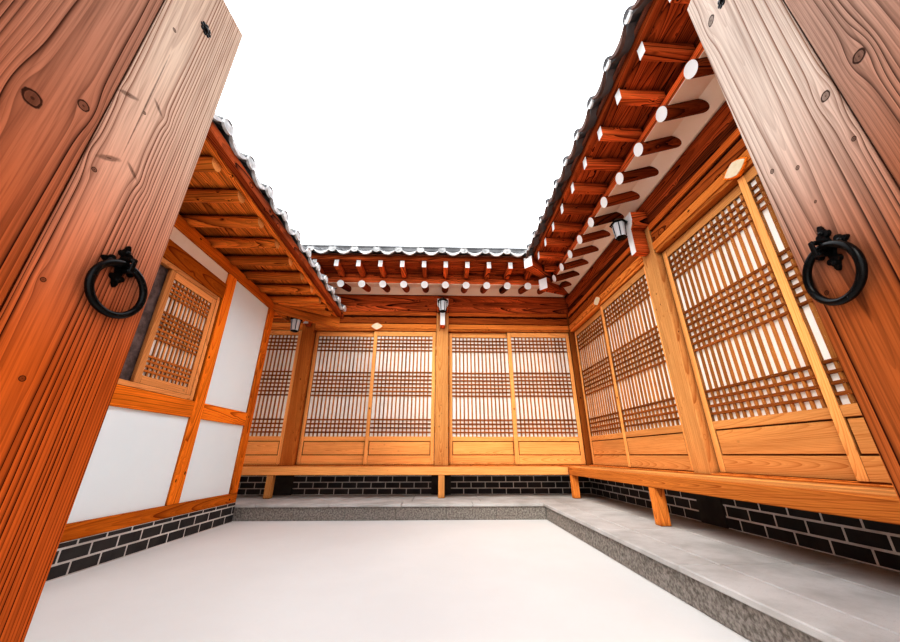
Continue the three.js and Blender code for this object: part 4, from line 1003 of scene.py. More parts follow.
def lay_row(tiles, ends, row, foot, uphill, height, low, high, lift, jitter=0.0, small=1.0):
    """One row of tiles from the eave up. foot is the row's point at the eave line, uphill the
    level direction up the slope, and height gives z at a distance from the eave."""
    tile, tip = row
    side = UP.cross(uphill)
    d = low
    while d < high - 0.06:
        forward = (uphill + UP * ((height(d + 0.1) - height(d)) / 0.1)).normalized()
        turn = Matrix((forward, side, forward.cross(side))).transposed().to_4x4()
        where = foot + uphill * d + UP * (height(d) + lift + random.uniform(-jitter, jitter))
        place = Matrix.Translation(where) @ turn
        stamp(tiles, tile, place @ Matrix.Diagonal((min(1.0, (high - d) / TILE_RUN), 1, 1, 1)))
        if d == 0:
            stamp(ends, tip, place @ Matrix.Scale(small, 4))
        d += TILE_RUN * 0.985


def lay_slope(name, axis, eave_at, inward, start, end, limits, height=roof_top, top=HALF_SPAN, drip=PALE_CLAY,
              tip=PALE_CLAY, reach=0.0, small=1.0):
    """limits gives the lowest and highest reach of a row. reach moves all rows out over the
    eave, and small is the size of the round ends."""
    tiles, ends, drips = bmesh.new(), bmesh.new(), bmesh.new()
    uphill = Vector(spot(axis, 0, inward))
    rows = spaced(start, end, TILE_PITCH)
    for p in rows:
        for q, row, lift, tips, size in ((p, COVER_ROW, 0.05, ends, small),
                                         (p + (rows[1] - rows[0]) / 2, TROUGH_ROW, 0.012, drips, 1.0)):
            if q > end + 0.01:
                continue
            low, high = limits(q)
            low, high = max(0.0, low), min(top - 0.05, high)
            if high - low > 0.08:
                foot = Vector(spot(axis, q, eave_at - inward * reach))
                lay_row(tiles, tips, row, foot, uphill, height, low, high, lift, 0.001, size)
    finish(tiles, name, CLAY, smooth_faces=True)
    finish(ends, name + "_ends", tip, smooth_faces=True)
    finish(drips, name + "_drips", drip, smooth_faces=True)


def roof_bed(name, axis, eave_at, start, end):
    """The clay under the tiles of a court slope, which leans down with them over the eave."""
    ridge, front, steps = HALF_SPAN - HAIR, 0.12, 12
    low = sagging(roof_top, SAG)
    marks = [front + (ridge - front) * (i / steps) ** 1.5 for i in range(steps + 1)]
    line = [(d, low(d) + 0.001) for d in marks]
    line += [(d, roof_top(d) - ROOF_THICK) for d in (ridge, 1.4)]
    line += [(d, ROOF_EDGE_Z - 0.03 + HAIR) for d in (0.23, front)]
    slab = extrusion([(eave_at + d, z) for d, z in line], axis, start, end)
    finish(slab, "clay_" + name, CLAY, nodes=[name])


def main_tiles():
    back, right = -BACK_OVERHANG, COURT_X - RIGHT_OVERHANG
    rear, outer = BACK_DEPTH + BACK_OVERHANG, EAST_X + RIGHT_OVERHANG
    west, south, far = ROOF_WEST + 0.08, ROOF_SOUTH + 0.08, math.inf
    low = sagging(roof_top, SAG)
    lay_slope("tiles_back_court", "x", back, 1, west, COURT_X + 1.5, lambda p: (p - MITRE - back, far), low,
              tip=END_CLAY, reach=0.03)
    lay_slope("tiles_back_rear", "x", rear, -1, west, outer, lambda p: (0, rear + MITRE - p))
    lay_slope("tiles_right_court", "y", right, 1, south, BACK_DEPTH / 2, lambda p: (p + MITRE - right, far),
              low, drip=SHADED_CLAY, reach=0.01, small=0.7)
    lay_slope("tiles_right_outer", "y", outer, -1, south, rear, lambda p: (0, outer - MITRE - p))
    roof_bed("roof_back_court", "x", back, ROOF_WEST, lambda y: y + MITRE - HAIR)
    roof_bed("roof_right_court", "y", right, ROOF_SOUTH, lambda x: x - MITRE - HAIR)


main_tiles()

# %% [markdown]
# ## The lower wing
# A plastered timber frame on a brick foot, with one lattice window, under a hipped roof
# whose rafters fan out at the corners.

# %% Lower wing walls
LEFT_X, LEFT_DEPTH, LEFT_NORTH = -2.48, 2.52, -1.1
LEFT_WEST, LEFT_MIDDLE = LEFT_X - LEFT_DEPTH, LEFT_X - LEFT_DEPTH / 2
LEFT_BASE, LEFT_SILL_TOP, LEFT_WALL_TOP = 0.21, 0.315, 2.7
LEFT_RAIL, LEFT_HEAD, LEFT_WINDOW = (1.082, 1.24), (2.37, 2.555), (-3.64, -2.275)
LEFT_STUDS = (SOUTH_Y + 0.075, -3.715, -2.175, LEFT_NORTH - 0.075)
LEFT_OVERHANG, LEFT_EDGE_Z, LEFT_SLOPE = 0.77, 3.0, 0.45
LEFT_HALF = LEFT_DEPTH / 2 + LEFT_OVERHANG
LEFT_SOFFIT = LEFT_EDGE_Z - 0.06 - HAIR
LEFT_PLATE_TOP = LEFT_SOFFIT - 0.02 - 0.09 - HAIR
STUD = 0.15
ROOF_ENDS = (SOUTH_Y - LEFT_OVERHANG, LEFT_NORTH + LEFT_OVERHANG)
LEFT_FIELDS = ((LEFT_SILL_TOP, LEFT_RAIL[0]), (LEFT_RAIL[1], LEFT_WALL_TOP))


def panel(work, axis, outer, inward, run, z):
    """A plaster panel whose face lies back from the timbers."""
    wing_beam(work, axis, outer, inward, run, (0.025, 0.125), z, bevel=0.0)


def left_walls():
    timber, lime, shaded = benches(3)
    add = partial(wing_beam, timber, "y", LEFT_X, -1)
    ends = (SOUTH_Y, LEFT_NORTH)
    w0, w1 = LEFT_WINDOW
    add(ends, (0, STUD), (LEFT_BASE + 0.001, LEFT_SILL_TOP), tint=-0.2)
    for p in LEFT_STUDS[::-1]:
        add(widened((p, p), STUD / 2), (0, STUD), (LEFT_SILL_TOP, LEFT_WALL_TOP), along="z", bevel=0.006)
    spans = [widened(span, -STUD / 2) for span in pairs(LEFT_STUDS)]
    for span in spans:
        add(span, (0.002, STUD), LEFT_RAIL, bevel=0.005)
    add((w0 - 0.075, w1 + 0.03), (0.004, STUD), LEFT_HEAD, bevel=0.005, tint=-0.4)
    add(ends, (0, STUD), (LEFT_WALL_TOP, LEFT_PLATE_TOP), bevel=0.005)
    for span in spans:
        panel(lime, "y", LEFT_X, -1, span, LEFT_FIELDS[0])
        if span[0] < w0 + 0.3 < span[1]:
            panel(shaded, "y", LEFT_X, -1, span, (LEFT_HEAD[1], LEFT_WALL_TOP))
        else:
            panel(lime, "y", LEFT_X, -1, span, LEFT_FIELDS[1])
    finish(timber, "timbers_left_court", RICH_PINE, nodes=["wall_left_court"])
    finish(lime, "panels_left_court", PLASTER)
    finish(shaded, "panel_over_window", EAVE_PLASTER)


def plain_wall(axis, outer, inward, start, end, side):
    timber, lime = benches(2)
    add = partial(wing_beam, timber, axis, outer, inward)
    add((start, end), (0, STUD), (LEFT_BASE + 0.001, LEFT_SILL_TOP))
    add((start, end), (0, STUD), (LEFT_WALL_TOP, LEFT_PLATE_TOP))
    studs = spaced(start + STUD / 2, end - STUD / 2, 1.3)
    for p in studs:
        add(widened((p, p), STUD / 2), (0, STUD), (LEFT_SILL_TOP, LEFT_WALL_TOP), along="z", bevel=0.006)
    for gap in pairs(studs):
        span = widened(gap, -STUD / 2)
        add(span, (0.002, STUD), LEFT_RAIL)
        for level in LEFT_FIELDS:
            panel(lime, axis, outer, inward, span, level)
    finish(timber, "timbers_left_" + side, POST_PINE, nodes=["wall_left_" + side])
    finish(lime, "panels_left_" + side, PLASTER)


left_walls()
plain_wall("y", LEFT_WEST, 1, SOUTH_Y, LEFT_NORTH, "west")
for outer, inward, side in ((LEFT_NORTH, -1, "north"), (SOUTH_Y, 1, "south")):
    plain_wall("x", outer, inward, LEFT_WEST + STUD + 0.001, LEFT_X - STUD - 0.001, side)

# %% Lattice windows
SASH_RIM, SASH_BAR, SASH_CROSSBAR = 0.045, 0.0085, 0.0095
SASH_ROWS, SASH_CROSSED = 22, (*range(1, 5), *range(8, 15), *range(18, 22))


def sash(axis, outer, inward, span, level, depths, name, node, open_half_shaded=False):
    """Two sashes side by side in a frame, each with a banded lattice over paper. The first
    may be a dark sheet instead, as painted shade in the open half of the window."""
    timber, uprights, crossbars, paper, gap_sheet = benches(5)

    def add(work, run, across, z, along=axis, **how):
        wing_beam(work, axis, outer, inward, run, across, z, along=along, **how)
    (low, high), z = widened(span, -0.001), widened(level, -0.001)
    (left, right), inside = widened((low, high), -SASH_RIM), widened(z, -SASH_RIM)
    for stile in ((low, left), (right, high)):
        add(timber, stile, (0.012, 0.11), z, along="z")
    for rail in ((z[0], inside[0]), (inside[1], z[1])):
        add(timber, (left, right), (0.014, 0.11), rail)
    middle = (low + high) / 2
    for (s, e), depth in zip(((left, middle + 0.03), (middle - 0.03, right)), depths):
        # The first half holds a dark sheet instead of a sash, as painted shade.
        if open_half_shaded and s == left:
            add(gap_sheet, (s, e), (depth, depth + 0.02), inside, along="z")
            continue
        inner, height = widened((s, e), -0.06), widened(inside, -0.07)
        columns = max(4, round((inner[1] - inner[0]) / 0.05))
        for stile in ((s, inner[0]), (inner[1], e)):
            add(timber, stile, (depth, depth + 0.035), inside, along="z", bevel=0.003)
        for rail in ((inside[0], height[0]), (height[1], inside[1])):
            add(timber, inner, (depth, depth + 0.035), rail, bevel=0.003)
        lattice(uprights, crossbars, add, inner, height, columns, SASH_ROWS, SASH_CROSSED, SASH_BAR,
                SASH_CROSSBAR, ((depth + 0.004, depth + 0.0185), (depth + 0.002, depth + 0.0175)))
        add(paper, inner, (depth + 0.019, depth + 0.022), height, along=None, bevel=0)
    finish(timber, name, FRAME_PINE, nodes=[node])
    for work, piece, finish_with in ((uprights, "_uprights", FRAME_PINE),
                                     (crossbars, "_crossbars", SHADED_CROSSBAR_PINE), (paper, "_paper", OLD_PAPER)):
        finish(work, name + piece, finish_with)
    if open_half_shaded:
        finish(gap_sheet, name + "_screen", GAP_SHADE)


sash("y", LEFT_X, -1, LEFT_WINDOW, (LEFT_RAIL[1], LEFT_HEAD[0]), (0.062, 0.02), "sashes_left", "window_left",
     True)

# %% [markdown]
# ## Brick foot and stone platform
# The bricks are real blocks set in a slab of pale mortar. The platform is a kerb of long
# stones with paving inside it.

# %% Bricks
BRICK_RUN, BRICK_RISE, JOINT = 0.207, 0.074, 0.012


def dress(names, finish_with):
    """The finish of CAD nodes that still show."""
    for name in names:
        NODES[name].data.materials.clear()
        NODES[name].data.materials.append(finish_with)


def brick_wall(work, z0, z1, axis, face, side, start, end):
    rise = BRICK_RISE + JOINT
    for row in range(math.ceil((z1 - z0) / rise)):
        level = z0 + row * rise + JOINT / 2, min(z1 - 0.002, z0 + (row + 1) * rise - JOINT / 2)
        s = start - (BRICK_RUN / 2 if row % 2 else 0)
        while s < end - 0.02:
            a, b = max(start + 0.001, s + JOINT / 2), min(end - 0.001, s + BRICK_RUN + JOINT / 2)
            if b - a > 0.03:
                wing_beam(work, axis, face, side, (a, b), (-0.03, 0.002), level, bevel=0.003)
            s += BRICK_RUN + JOINT


def brickwork():
    main, left = benches(2)
    for wall in (("x", 0, -1, WEST_X, COURT_X), ("y", COURT_X, -1, SOUTH_Y, 0),
                 ("x", BACK_DEPTH, 1, WEST_X, EAST_X), ("y", EAST_X, 1, SOUTH_Y, BACK_DEPTH),
                 ("y", WEST_X, -1, 0, BACK_DEPTH), ("x", SOUTH_Y, -1, COURT_X, EAST_X)):
        brick_wall(main, PLATFORM_TOP + 0.001, BASE_TOP - 0.001, *wall)
    for wall in (("y", LEFT_X, 1, SOUTH_Y, LEFT_NORTH), ("y", LEFT_WEST, -1, SOUTH_Y, LEFT_NORTH),
                 ("x", LEFT_NORTH, 1, LEFT_WEST, LEFT_X), ("x", SOUTH_Y, -1, LEFT_WEST, LEFT_X)):
        brick_wall(left, 0.001, LEFT_BASE, *wall)
    finish(main, "bricks_main", BRICK)
    finish(left, "bricks_left", BRICK)
    dress(["base_main", "base_left"], MORTAR)


brickwork()

# %% [markdown]
# ## The lower wing's eave and roof
# Thick round rafters carry boards that run along the eave. A hip rafter sticks out at each
# corner, and the common rafters next to it are set askew, like the ribs of a fan.

# %% Lower eave
LOG, LOG_SET, EAVE_BOARD = 0.058, 0.1, 0.145


def eave_sides(inset=0):
    """The sides of the lower roof's plan, drawn in by an inset: axis, place, inward and run."""
    x0, x1 = widened((LEFT_MIDDLE, LEFT_MIDDLE), LEFT_HALF - inset)
    y0, y1 = widened(ROOF_ENDS, -inset)
    return (("y", x1, -1, (y0, y1), "court"), ("y", x0, 1, (y0, y1), "west"), ("x", y1, -1, (x0, x1), "north"),
            ("x", y0, 1, (x0, x1), "south"))


def ring_board(work, inset, width, z, lean=0.0, tint=None):
    """Four mitred boards round the eave. lean moves their top edge outwards."""
    for axis, at, inward, (a, b), _ in eave_sides(inset):
        def depth(c, at=at, inward=inward):
            return (c - at) * inward
        back = at + inward * width
        outline = [(at, z[0]), (back, z[0]), (back, z[1]), (at - inward * lean, z[1])]
        prism(work, outline, axis, lambda c, a=a: a + depth(c), lambda c, b=b: b - depth(c), axis, tint, 0.002)


def lower_eave():
    logs, ends, fascia = benches(3)
    centre = LEFT_SOFFIT - 0.03 - LOG * 0.82
    inner = LEFT_OVERHANG + 0.1
    corners = [(sx, y, sy) for sx in (-1, 1) for y, sy in zip(ROOF_ENDS, (-1, 1))]
    for y in spaced(ROOF_ENDS[0] + inner, ROOF_ENDS[1] - inner, PITCH):
        for side in (-1, 1):
            start, end = (LEFT_MIDDLE + side * r for r in (LEFT_HALF - inner, LEFT_HALF - LOG_SET))
            log(logs, (start, y, centre), (end, y, centre), LOG, 18)
            log(ends, (end - side * 0.002, y, centre), (end + side * 0.002, y, centre), LOG - 0.003, 18)
    for x in spaced(LEFT_MIDDLE - LEFT_HALF + inner, LEFT_MIDDLE + LEFT_HALF - inner, PITCH):
        for y, sy in zip(ROOF_ENDS, (-1, 1)):
            log(logs, (x, y - sy * inner, centre), (x, y - sy * LOG_SET, centre), LOG, 18)
    for sx, y, sy in corners:
        foot = Vector((LEFT_MIDDLE + sx * (LEFT_HALF - inner), y - sy * inner, centre))
        for angle in map(math.radians, (18, 34, 56, 72)):
            reach = (inner - LOG_SET) / max(math.cos(angle), math.sin(angle))
            way = Vector((sx * math.cos(angle), sy * math.sin(angle), 0))
            log(logs, foot + way * 0.16, foot + way * reach, LOG * 0.92, 16)
        hip = block((0, -0.055, -0.15), ((inner - 0.055) * math.sqrt(2), 0.055, 0.05), 0.006)
        turn = Matrix.Rotation(math.atan2(sy, sx), 4, "Z")
        pour(move(grow(hip, "x"), Matrix.Translation(foot) @ turn), logs)
    low = LEFT_SOFFIT - 0.03
    # The boards are painted darker towards the wall, as painted shade under the eave.
    for i in range(6):
        ring_board(logs, 0.062 + i * EAVE_BOARD, EAVE_BOARD - 0.002, (low, LEFT_SOFFIT - 0.004), 0.0,
                   max(0.2, 1 - i * 0.25))
    ring_board(logs, 0.058, 0.05, (LEFT_SOFFIT - 0.055, low), 0.0, 0.95)
    ring_board(fascia, -0.006, 0.066, (LEFT_SOFFIT - 0.035, LEFT_EDGE_Z - 0.02), 0.008, -0.35)
    finish(logs, "logs_left", EAVE_PINE, nodes=["eave_left"], smooth_faces=True)
    finish(ends, "logs_left_ends", DOOR_PINE, smooth_faces=True)
    finish(fascia, "fascia_left", DARK_PINE)


def lower_tiles():
    for axis, at, inward, (a, b), side in eave_sides():
        lay_slope("tiles_left_" + side, axis, at, inward, a + 0.1, b - 0.1,
                  lambda p, a=a, b=b: (0, min(p - a, b - p)), lambda d: LEFT_EDGE_Z + LEFT_SLOPE * d,
                  top=LEFT_HALF, reach=0.01)


lower_eave()
lower_tiles()

# %% [markdown]
# ## Ridges
# A ridge is a wall of flat tiles in lime, one course over another, with a row of cover
# tiles along its crest.

# %% Ridge courses
RIDGE_WIDTH, RIDGE_HEIGHT, COURSE = 0.26, 0.33, 0.045
RIDGE_Y, RIDGE_X = BACK_DEPTH / 2, COURT_X + RIGHT_DEPTH / 2
CREST_TILE = 0.06


def courses(tiles, start, end, width, bottom, top):
    """A ridge from point to point: thin courses and a round crest. bottom and top are heights
    over the line from start to end."""
    start = Vector(start)
    run = Vector(end) - start
    turn = Matrix.Translation(start) @ aimed(run, "X", "Z")
    tall = top - CREST_TILE - bottom
    count = max(2, round(tall / COURSE))
    step = tall / count
    for i in range(count):
        half = width / 2 - (0.0 if i % 2 else 0.012)
        low, high = bottom + i * step, bottom + (i + 1) * step
        pour(move(block((0, -half, low), (run.length, half, high)), turn), tiles)
    d = 0
    wide = width / 2 * 0.62 / COVER
    while d < run.length - 0.05:
        short = min(1.0, (run.length - d) / TILE_RUN)
        place = turn @ Matrix.Translation((d, 0, top - CREST_TILE))
        stamp(tiles, COVER_ROW[0], place @ Matrix.Diagonal((short, wide, CREST_TILE / COVER, 1)))
        d += TILE_RUN * 0.97


def main_ridges():
    tiles = bmesh.new()
    base = roof_top(HALF_SPAN) - 0.03
    for start, end in (((ROOF_WEST, RIDGE_Y, base), (RIDGE_X + RIDGE_WIDTH / 2, RIDGE_Y, base)),
                       ((RIDGE_X, ROOF_SOUTH, base), (RIDGE_X, RIDGE_Y + RIDGE_WIDTH / 2, base))):
        courses(tiles, start, end, RIDGE_WIDTH, 0, RIDGE_HEIGHT + 0.02)
    span = HALF_SPAN - 0.09
    points = [(RIDGE_X + s, RIDGE_Y + s, roof_top(HALF_SPAN - s)) for s in (0, span / 3, 2 * span / 3, span)]
    for start, end in pairs(points):
        courses(tiles, start, end, 0.2, 0.0, 0.19)
    finish(tiles, "ridge_tiles_main", CLAY, nodes=["ridge_main"], smooth_faces=True)


def lower_ridges():
    """The hips end in small tiles that curl up, each smaller than the last."""
    tiles = bmesh.new()
    crest = LEFT_EDGE_Z + LEFT_SLOPE * LEFT_HALF
    ends = widened(ROOF_ENDS, -LEFT_HALF)
    courses(tiles, (LEFT_MIDDLE, ends[0] - 0.15, crest), (LEFT_MIDDLE, ends[1] + 0.15, crest), 0.22, -0.1,
            0.22)
    run = LEFT_HALF - 0.06
    for sx in (-1, 1):
        for y, sy in zip(ends, (-1, 1)):
            top = Vector((LEFT_MIDDLE, y, crest))
            tip = top + Vector((sx * run, sy * run, -LEFT_SLOPE * run))
            courses(tiles, top, tip, 0.16, 0.0, 0.15)
            way = (tip - top).normalized()
            for k in range(5):
                place = Matrix.Translation(tip - way * (0.26 - 0.03 * k) + UP * (0.13 + 0.012 * k * k))
                stamp(tiles, COVER_ROW[0], place @ aimed(way, "X", "Z") @ turned(-14 * k, "Y")
                      @ Matrix.Diagonal((0.14, 0.5 - 0.09 * k, 0.4, 1)))
    finish(tiles, "ridge_tiles_left", CLAY, nodes=["ridge_left"], smooth_faces=True)


main_ridges()
lower_ridges()

# %% [markdown]
# ## Rear, outer and end walls
# The sides away from the court repeat its members: posts, sills and beams with white
# panels between them, and lattice windows.

# %% Plain sides
FRAME_TOP = LINTEL_TOP + 0.2
WINDOW_LEVEL = (1.38, 2.4)
RAIL_UNDER, RAIL_OVER = 0.14, 0.12
UNDER_ROOF, GABLE_INSET = 0.17, 0.26


def side_wall(axis, outer, inward, posts, span, windows, side, overhang=None, gable=False):
    timber, lime = benches(2)
    add, fill = (partial(wing_beam, work, axis, outer, inward) for work in (timber, lime))
    fill = partial(fill, across=(0.05, 0.17), bevel=0)
    start, end = span
    rail = widened(span, -0.004)
    low, high = WINDOW_LEVEL
    add(rail, (0.01, POST - 0.01), (BASE_TOP + 0.002, BASE_TOP + 0.14))
    for level in ((low - RAIL_UNDER, low), (high, high + RAIL_OVER), (FRAME_TOP - 0.16, FRAME_TOP)):
        add(rail, (0.02, POST - 0.02), level)
    for p in posts:
        run = (max(start, p - POST / 2), min(end, p + POST / 2))
        add(run, (0, POST), (BASE_TOP + 0.001, FRAME_TOP), along="z", bevel=0.007)
    fill(rail, z=(BASE_TOP + 0.14, low - RAIL_UNDER))
    fill(rail, z=(high + RAIL_OVER, FRAME_TOP - 0.16))
    for gap in pairs(sorted([*rail, *(edge for window in windows for edge in window)])):
        if gap not in windows:
            fill(gap, z=WINDOW_LEVEL)
    if overhang:
        centre = purlin_z(overhang)
        log(timber, *(spot(axis, p, outer + inward * POST / 2, centre) for p in span), PURLIN_RADIUS, 20)
        fill(rail, z=(FRAME_TOP, centre))
    if gable:
        middle = (start + end) / 2

        def under(p):
            return roof_top(HALF_SPAN - abs(p - middle)) - UNDER_ROOF
        a, b = widened(span, -GABLE_INSET)
        outline = [(a, FRAME_TOP), (b, FRAME_TOP), (b, under(b)), (middle, under(middle)), (a, under(a))]
        face = outer + inward * 0.05
        prism(lime, outline, other(axis), face, face + inward * 0.12, axis)
        for p in (middle - 0.75, middle, middle + 0.75):
            add((p - 0.07, p + 0.07), (0.03, 0.1), (FRAME_TOP, under(p) - 0.1), along="z")
    finish(timber, "timbers_" + side, POST_PINE, nodes=["wall_" + side])
    finish(lime, "panels_" + side, PLASTER)


REAR_WINDOWS = [(-1.9, -0.5), (0.5, 1.9)]
OUTER_WINDOWS = [(-4.45, -3.05), (-2.0, -0.6)]


def all_sides():
    behind = POST + 0.001
    side_wall("x", BACK_DEPTH, -1, (*BACK_POSTS, EAST_X - POST / 2), (WEST_X, EAST_X - 0.001), REAR_WINDOWS,
              "back_rear", BACK_OVERHANG)
    side_wall("y", EAST_X, -1, (LAST_POST, *RIGHT_POSTS[::-1], 0.0), (SOUTH_Y, BACK_DEPTH - behind),
              OUTER_WINDOWS, "right_outer", RIGHT_OVERHANG)
    for axis, outer, span, side in (("y", WEST_X, (0, BACK_DEPTH), "west_end"),
                                    ("x", SOUTH_Y, (COURT_X, EAST_X), "south_end")):
        side_wall(axis, outer, 1, widened(span, -POST * 1.5), widened(span, -behind), [], side, gable=True)
    for axis, outer, openings, side in (("x", BACK_DEPTH, REAR_WINDOWS, "rear"),
                                        ("y", EAST_X, OUTER_WINDOWS[::-1], "outer")):
        for number, opening in enumerate(openings, 1):
            name = f"{side}_{number}"
            sash(axis, outer, -1, opening, WINDOW_LEVEL, (0.06, 0.06), "sashes_" + name, "window_" + name)


all_sides()


# %% Bargeboards
def bargeboard(axis, middle, at, name):
    work = bench()
    rim = HALF_SPAN - 0.04

    def line(lift):
        return [(middle + a, roof_top(HALF_SPAN - abs(a)) + lift) for a in spaced(-rim, rim, HALF_SPAN / 6)]
    for low, thick in ((-0.33, 0.036), (-0.08, 0.042)):
        prism(work, line(-0.015) + line(low)[::-1], axis, at - thick, at - HAIR, other(axis))
    finish(work, "boards_" + name, DARK_PINE, nodes=["bargeboard_" + name])


bargeboard("x", RIDGE_Y, ROOF_WEST, "west")
bargeboard("y", RIDGE_X, ROOF_SOUTH, "south")

# %% [markdown]
# ## Gate
# Two board leaves turn on wooden pivots between heavy posts, under a small tiled roof.
# Each leaf is three wide planks. The planks keep their place in the leaf as grain
# coordinates, so that the heart of each tree and the larger knots sit where they should.

# %% Gate frame and roof
GATE_CENTRE, GATE_TURN = (-0.093, -5.792), -4.4
GATE_PIVOT, GATE_INSIDE, GATE_OUTSIDE = 0.69, 0.731, 0.921
GATE_DEPTH, GATE_BEAM = (-0.15, 0.04), (-0.16, -0.042)
GATE_HEAD, GATE_WALL_TOP = 2.06, 2.3
GATE_EAVE_Z, GATE_EAVE, GATE_SLOPE = 2.33, 0.47, 0.5
LEAF_LEVEL, LEAF_BACK, LEAF_WIDTH, LEAF_HALF = (0.09, 2.04), 0.028, 0.687, 0.021
GATE = Matrix.Translation((*GATE_CENTRE, 0)) @ turned(GATE_TURN)


def gate_frame():
    work = bench()
    low, high = GATE_BEAM
    for z in ((0.001, 0.11), (GATE_HEAD, GATE_HEAD + 0.15)):
        beam(work, (-GATE_INSIDE, low, z[0]), (GATE_INSIDE, high, z[1]), bevel=0.008)
    for side in (-1, 1):
        post, socket = side * GATE_INSIDE, side * (GATE_PIVOT - 0.055)
        beam(work, (post, GATE_DEPTH[0], 0.001), (side * GATE_OUTSIDE, GATE_DEPTH[1], GATE_WALL_TOP),
             bevel=0.008)
        for z in ((0.001, LEAF_LEVEL[0] - 0.006), (LEAF_LEVEL[1] + 0.006, GATE_HEAD + 0.1)):
            beam(work, (post, -0.05, z[0]), (socket, 0.062, z[1]), along="x", bevel=0.005)
    finish(work, "gate_posts", POST_PINE, nodes=["gate_frame"], place=GATE)


def gate_meets(x):
    """Where a line along the gate meets a north-south plane of the court."""
    turn = math.radians(GATE_TURN)
    return lambda y: (x - GATE_CENTRE[0] + y * math.sin(turn)) / math.cos(turn)


def gate_walls():
    low, high = GATE_BEAM
    for name, start, end in (("left", gate_meets(LEFT_X + 0.001), -GATE_OUTSIDE - HAIR),
                             ("right", GATE_OUTSIDE + HAIR, gate_meets(COURT_X - 0.001))):
        lime, timber = benches(2)
        for work, inset, z in ((lime, 0.015, (0.001, GATE_WALL_TOP)), (timber, 0, (0.001, 0.13)),
                               (timber, 0, (GATE_WALL_TOP - 0.14, GATE_WALL_TOP))):
            a, b = low + inset, high - inset
            prism(work, [(a, z[0]), (b, z[0]), (b, z[1]), (a, z[1])], "x", start, end, "x")
        finish(lime, "gate_panel_" + name, PLASTER, nodes=["gate_wall_" + name], place=GATE)
        finish(timber, "gate_rails_" + name, POST_PINE, place=GATE)


def gate_roof():
    timber, tiles, ends = bench(), bmesh.new(), bmesh.new()
    middle = sum(GATE_BEAM) / 2
    left, right = gate_meets(LEFT_X + 0.01), gate_meets(COURT_X - 0.01)
    crest, under = GATE_EAVE_Z + GATE_EAVE * GATE_SLOPE, GATE_WALL_TOP + 0.001
    half = [(0.12, under), (GATE_EAVE, under + 0.02), (GATE_EAVE, GATE_EAVE_Z + 0.035)]
    outline = [(middle - a, z) for a, z in half[1::-1]] + [(middle + a, z) for a, z in half]
    outline += [(middle, crest), (middle - half[2][0], half[2][1])]
    prism(timber, outline, "x", left, right, "x")
    reach, half_pitch = GATE_EAVE * 0.94, 0.12
    for p in spaced(left(0) + 0.14, right(0) - 0.14, 2 * half_pitch):
        for side in (-1, 1):
            for q, row, lift in ((p, COVER_ROW, 0.03), (p + half_pitch, TROUGH_ROW, 0.005)):
                if q < right(0) - 0.1:
                    lay_row(tiles, ends, row, Vector((q, middle + side * reach, 0)), Vector((0, -side, 0)),
                            lambda d: GATE_EAVE_Z + 0.03 + GATE_SLOPE * d, 0, reach, lift)
    courses(tiles, (left(0) + 0.06, middle, crest), (right(0) - 0.06, middle, crest), 0.16, -0.05, 0.138)
    finish(timber, "gate_roof_boards", DARK_PINE, nodes=["gate_roof"], place=GATE)
    finish(tiles, "gate_tiles", CLAY, place=GATE, smooth_faces=True)
    finish(ends, "gate_tile_ends", PALE_CLAY, place=GATE, smooth_faces=True)


gate_frame()
gate_walls()
gate_roof()

# %% Gate leaves
SEAMS = (-LEAF_BACK, 0.235, 0.468, LEAF_WIDTH)
LEAVES = {"left": (-1, 90), "right": (1, 98)}


def leaf_place(side, opened):
    """The matrix of a leaf drawn closed, its free edge at +x. The right leaf is mirrored."""
    return GATE @ Matrix.Translation((side * GATE_PIVOT, 0, 0)) @ turned(-side * opened) \
        @ Matrix.Diagonal((-side, 1, 1, 1))


def gate_leaf(name, place, hearts):
    """hearts gives, for each plank, where the pith lies: across the leaf and behind its face."""
    work = bench()
    low, high = LEAF_LEVEL
    for plank, ((start, end), (across, behind)) in enumerate(zip(pairs(SEAMS), hearts)):
        part = block((start + 0.0012, -LEAF_HALF, low), (end - 0.0012, LEAF_HALF, high), 0.003)
        grow(part, "z", GATE_TINTS[plank])
        layer = part.verts.layers.float_vector[GRAIN]
        for v in part.verts:
            v[layer] = (v.co.x - across, v.co.y + LEAF_HALF + behind, v.co.z + PLANK_APART * plank)
        pour(part, work)
    beam(work, (0.005 - LEAF_BACK, -0.008, low + 0.004), (LEAF_WIDTH - 0.005, 0.008, high - 0.004), "z", 0)
    for z in ((0.041, low + 0.01), (high - 0.01, high + 0.049)):
        log(work, (0, 0, z[0]), (0, 0, z[1]), 0.0195, 16)
    finish(work, "planks_" + name, GATE_WOOD[name], "gate_" + name, ["gate_leaf_" + name],
           place=place)


# %% Rings and their plates
RING_RADIUS, RING_ROD, RING_Z, RING_FROM_EDGE = 0.054, 0.007, 1.055, 0.084
STUD_SPOT = Vector((0.575, -LEAF_HALF, 1.865))
FACING = turned(90, "X")
LOBES = ((0.010, 0, 0.0095), (0.018, 0, 0.0075), (0.027, 0.0085, 0.0068), (0.027, -0.0085, 0.0068),
         (0.033, 0, 0.0085), (0.041, 0, 0.0058), (0.0455, 0, 0.0036))
EYE_BARS = (((-0.005, -0.023, -0.0165), (0.005, 0.001, -0.0095)),
            ((-0.005, -0.027, -0.0165), (0.005, -0.023, 0.016)),
            ((-0.005, -0.023, 0.0095), (0.005, 0.001, 0.016)))


def on_face(degrees, reach=1.0):
    """A vector on the leaf's face, turned from +x towards +z."""
    return Vector((math.cos(math.radians(degrees)), 0, math.sin(math.radians(degrees)))) * reach


def dome(work, centre, radius, flat):
    """A round-headed rivet on a face that looks to -y."""
    part = bmesh.new()
    bmesh.ops.create_uvsphere(part, u_segments=12, v_segments=8, radius=radius,
                              matrix=Matrix.Translation(centre) @ Matrix.Diagonal((1, flat, 1, 1)))
    pour(part, work)


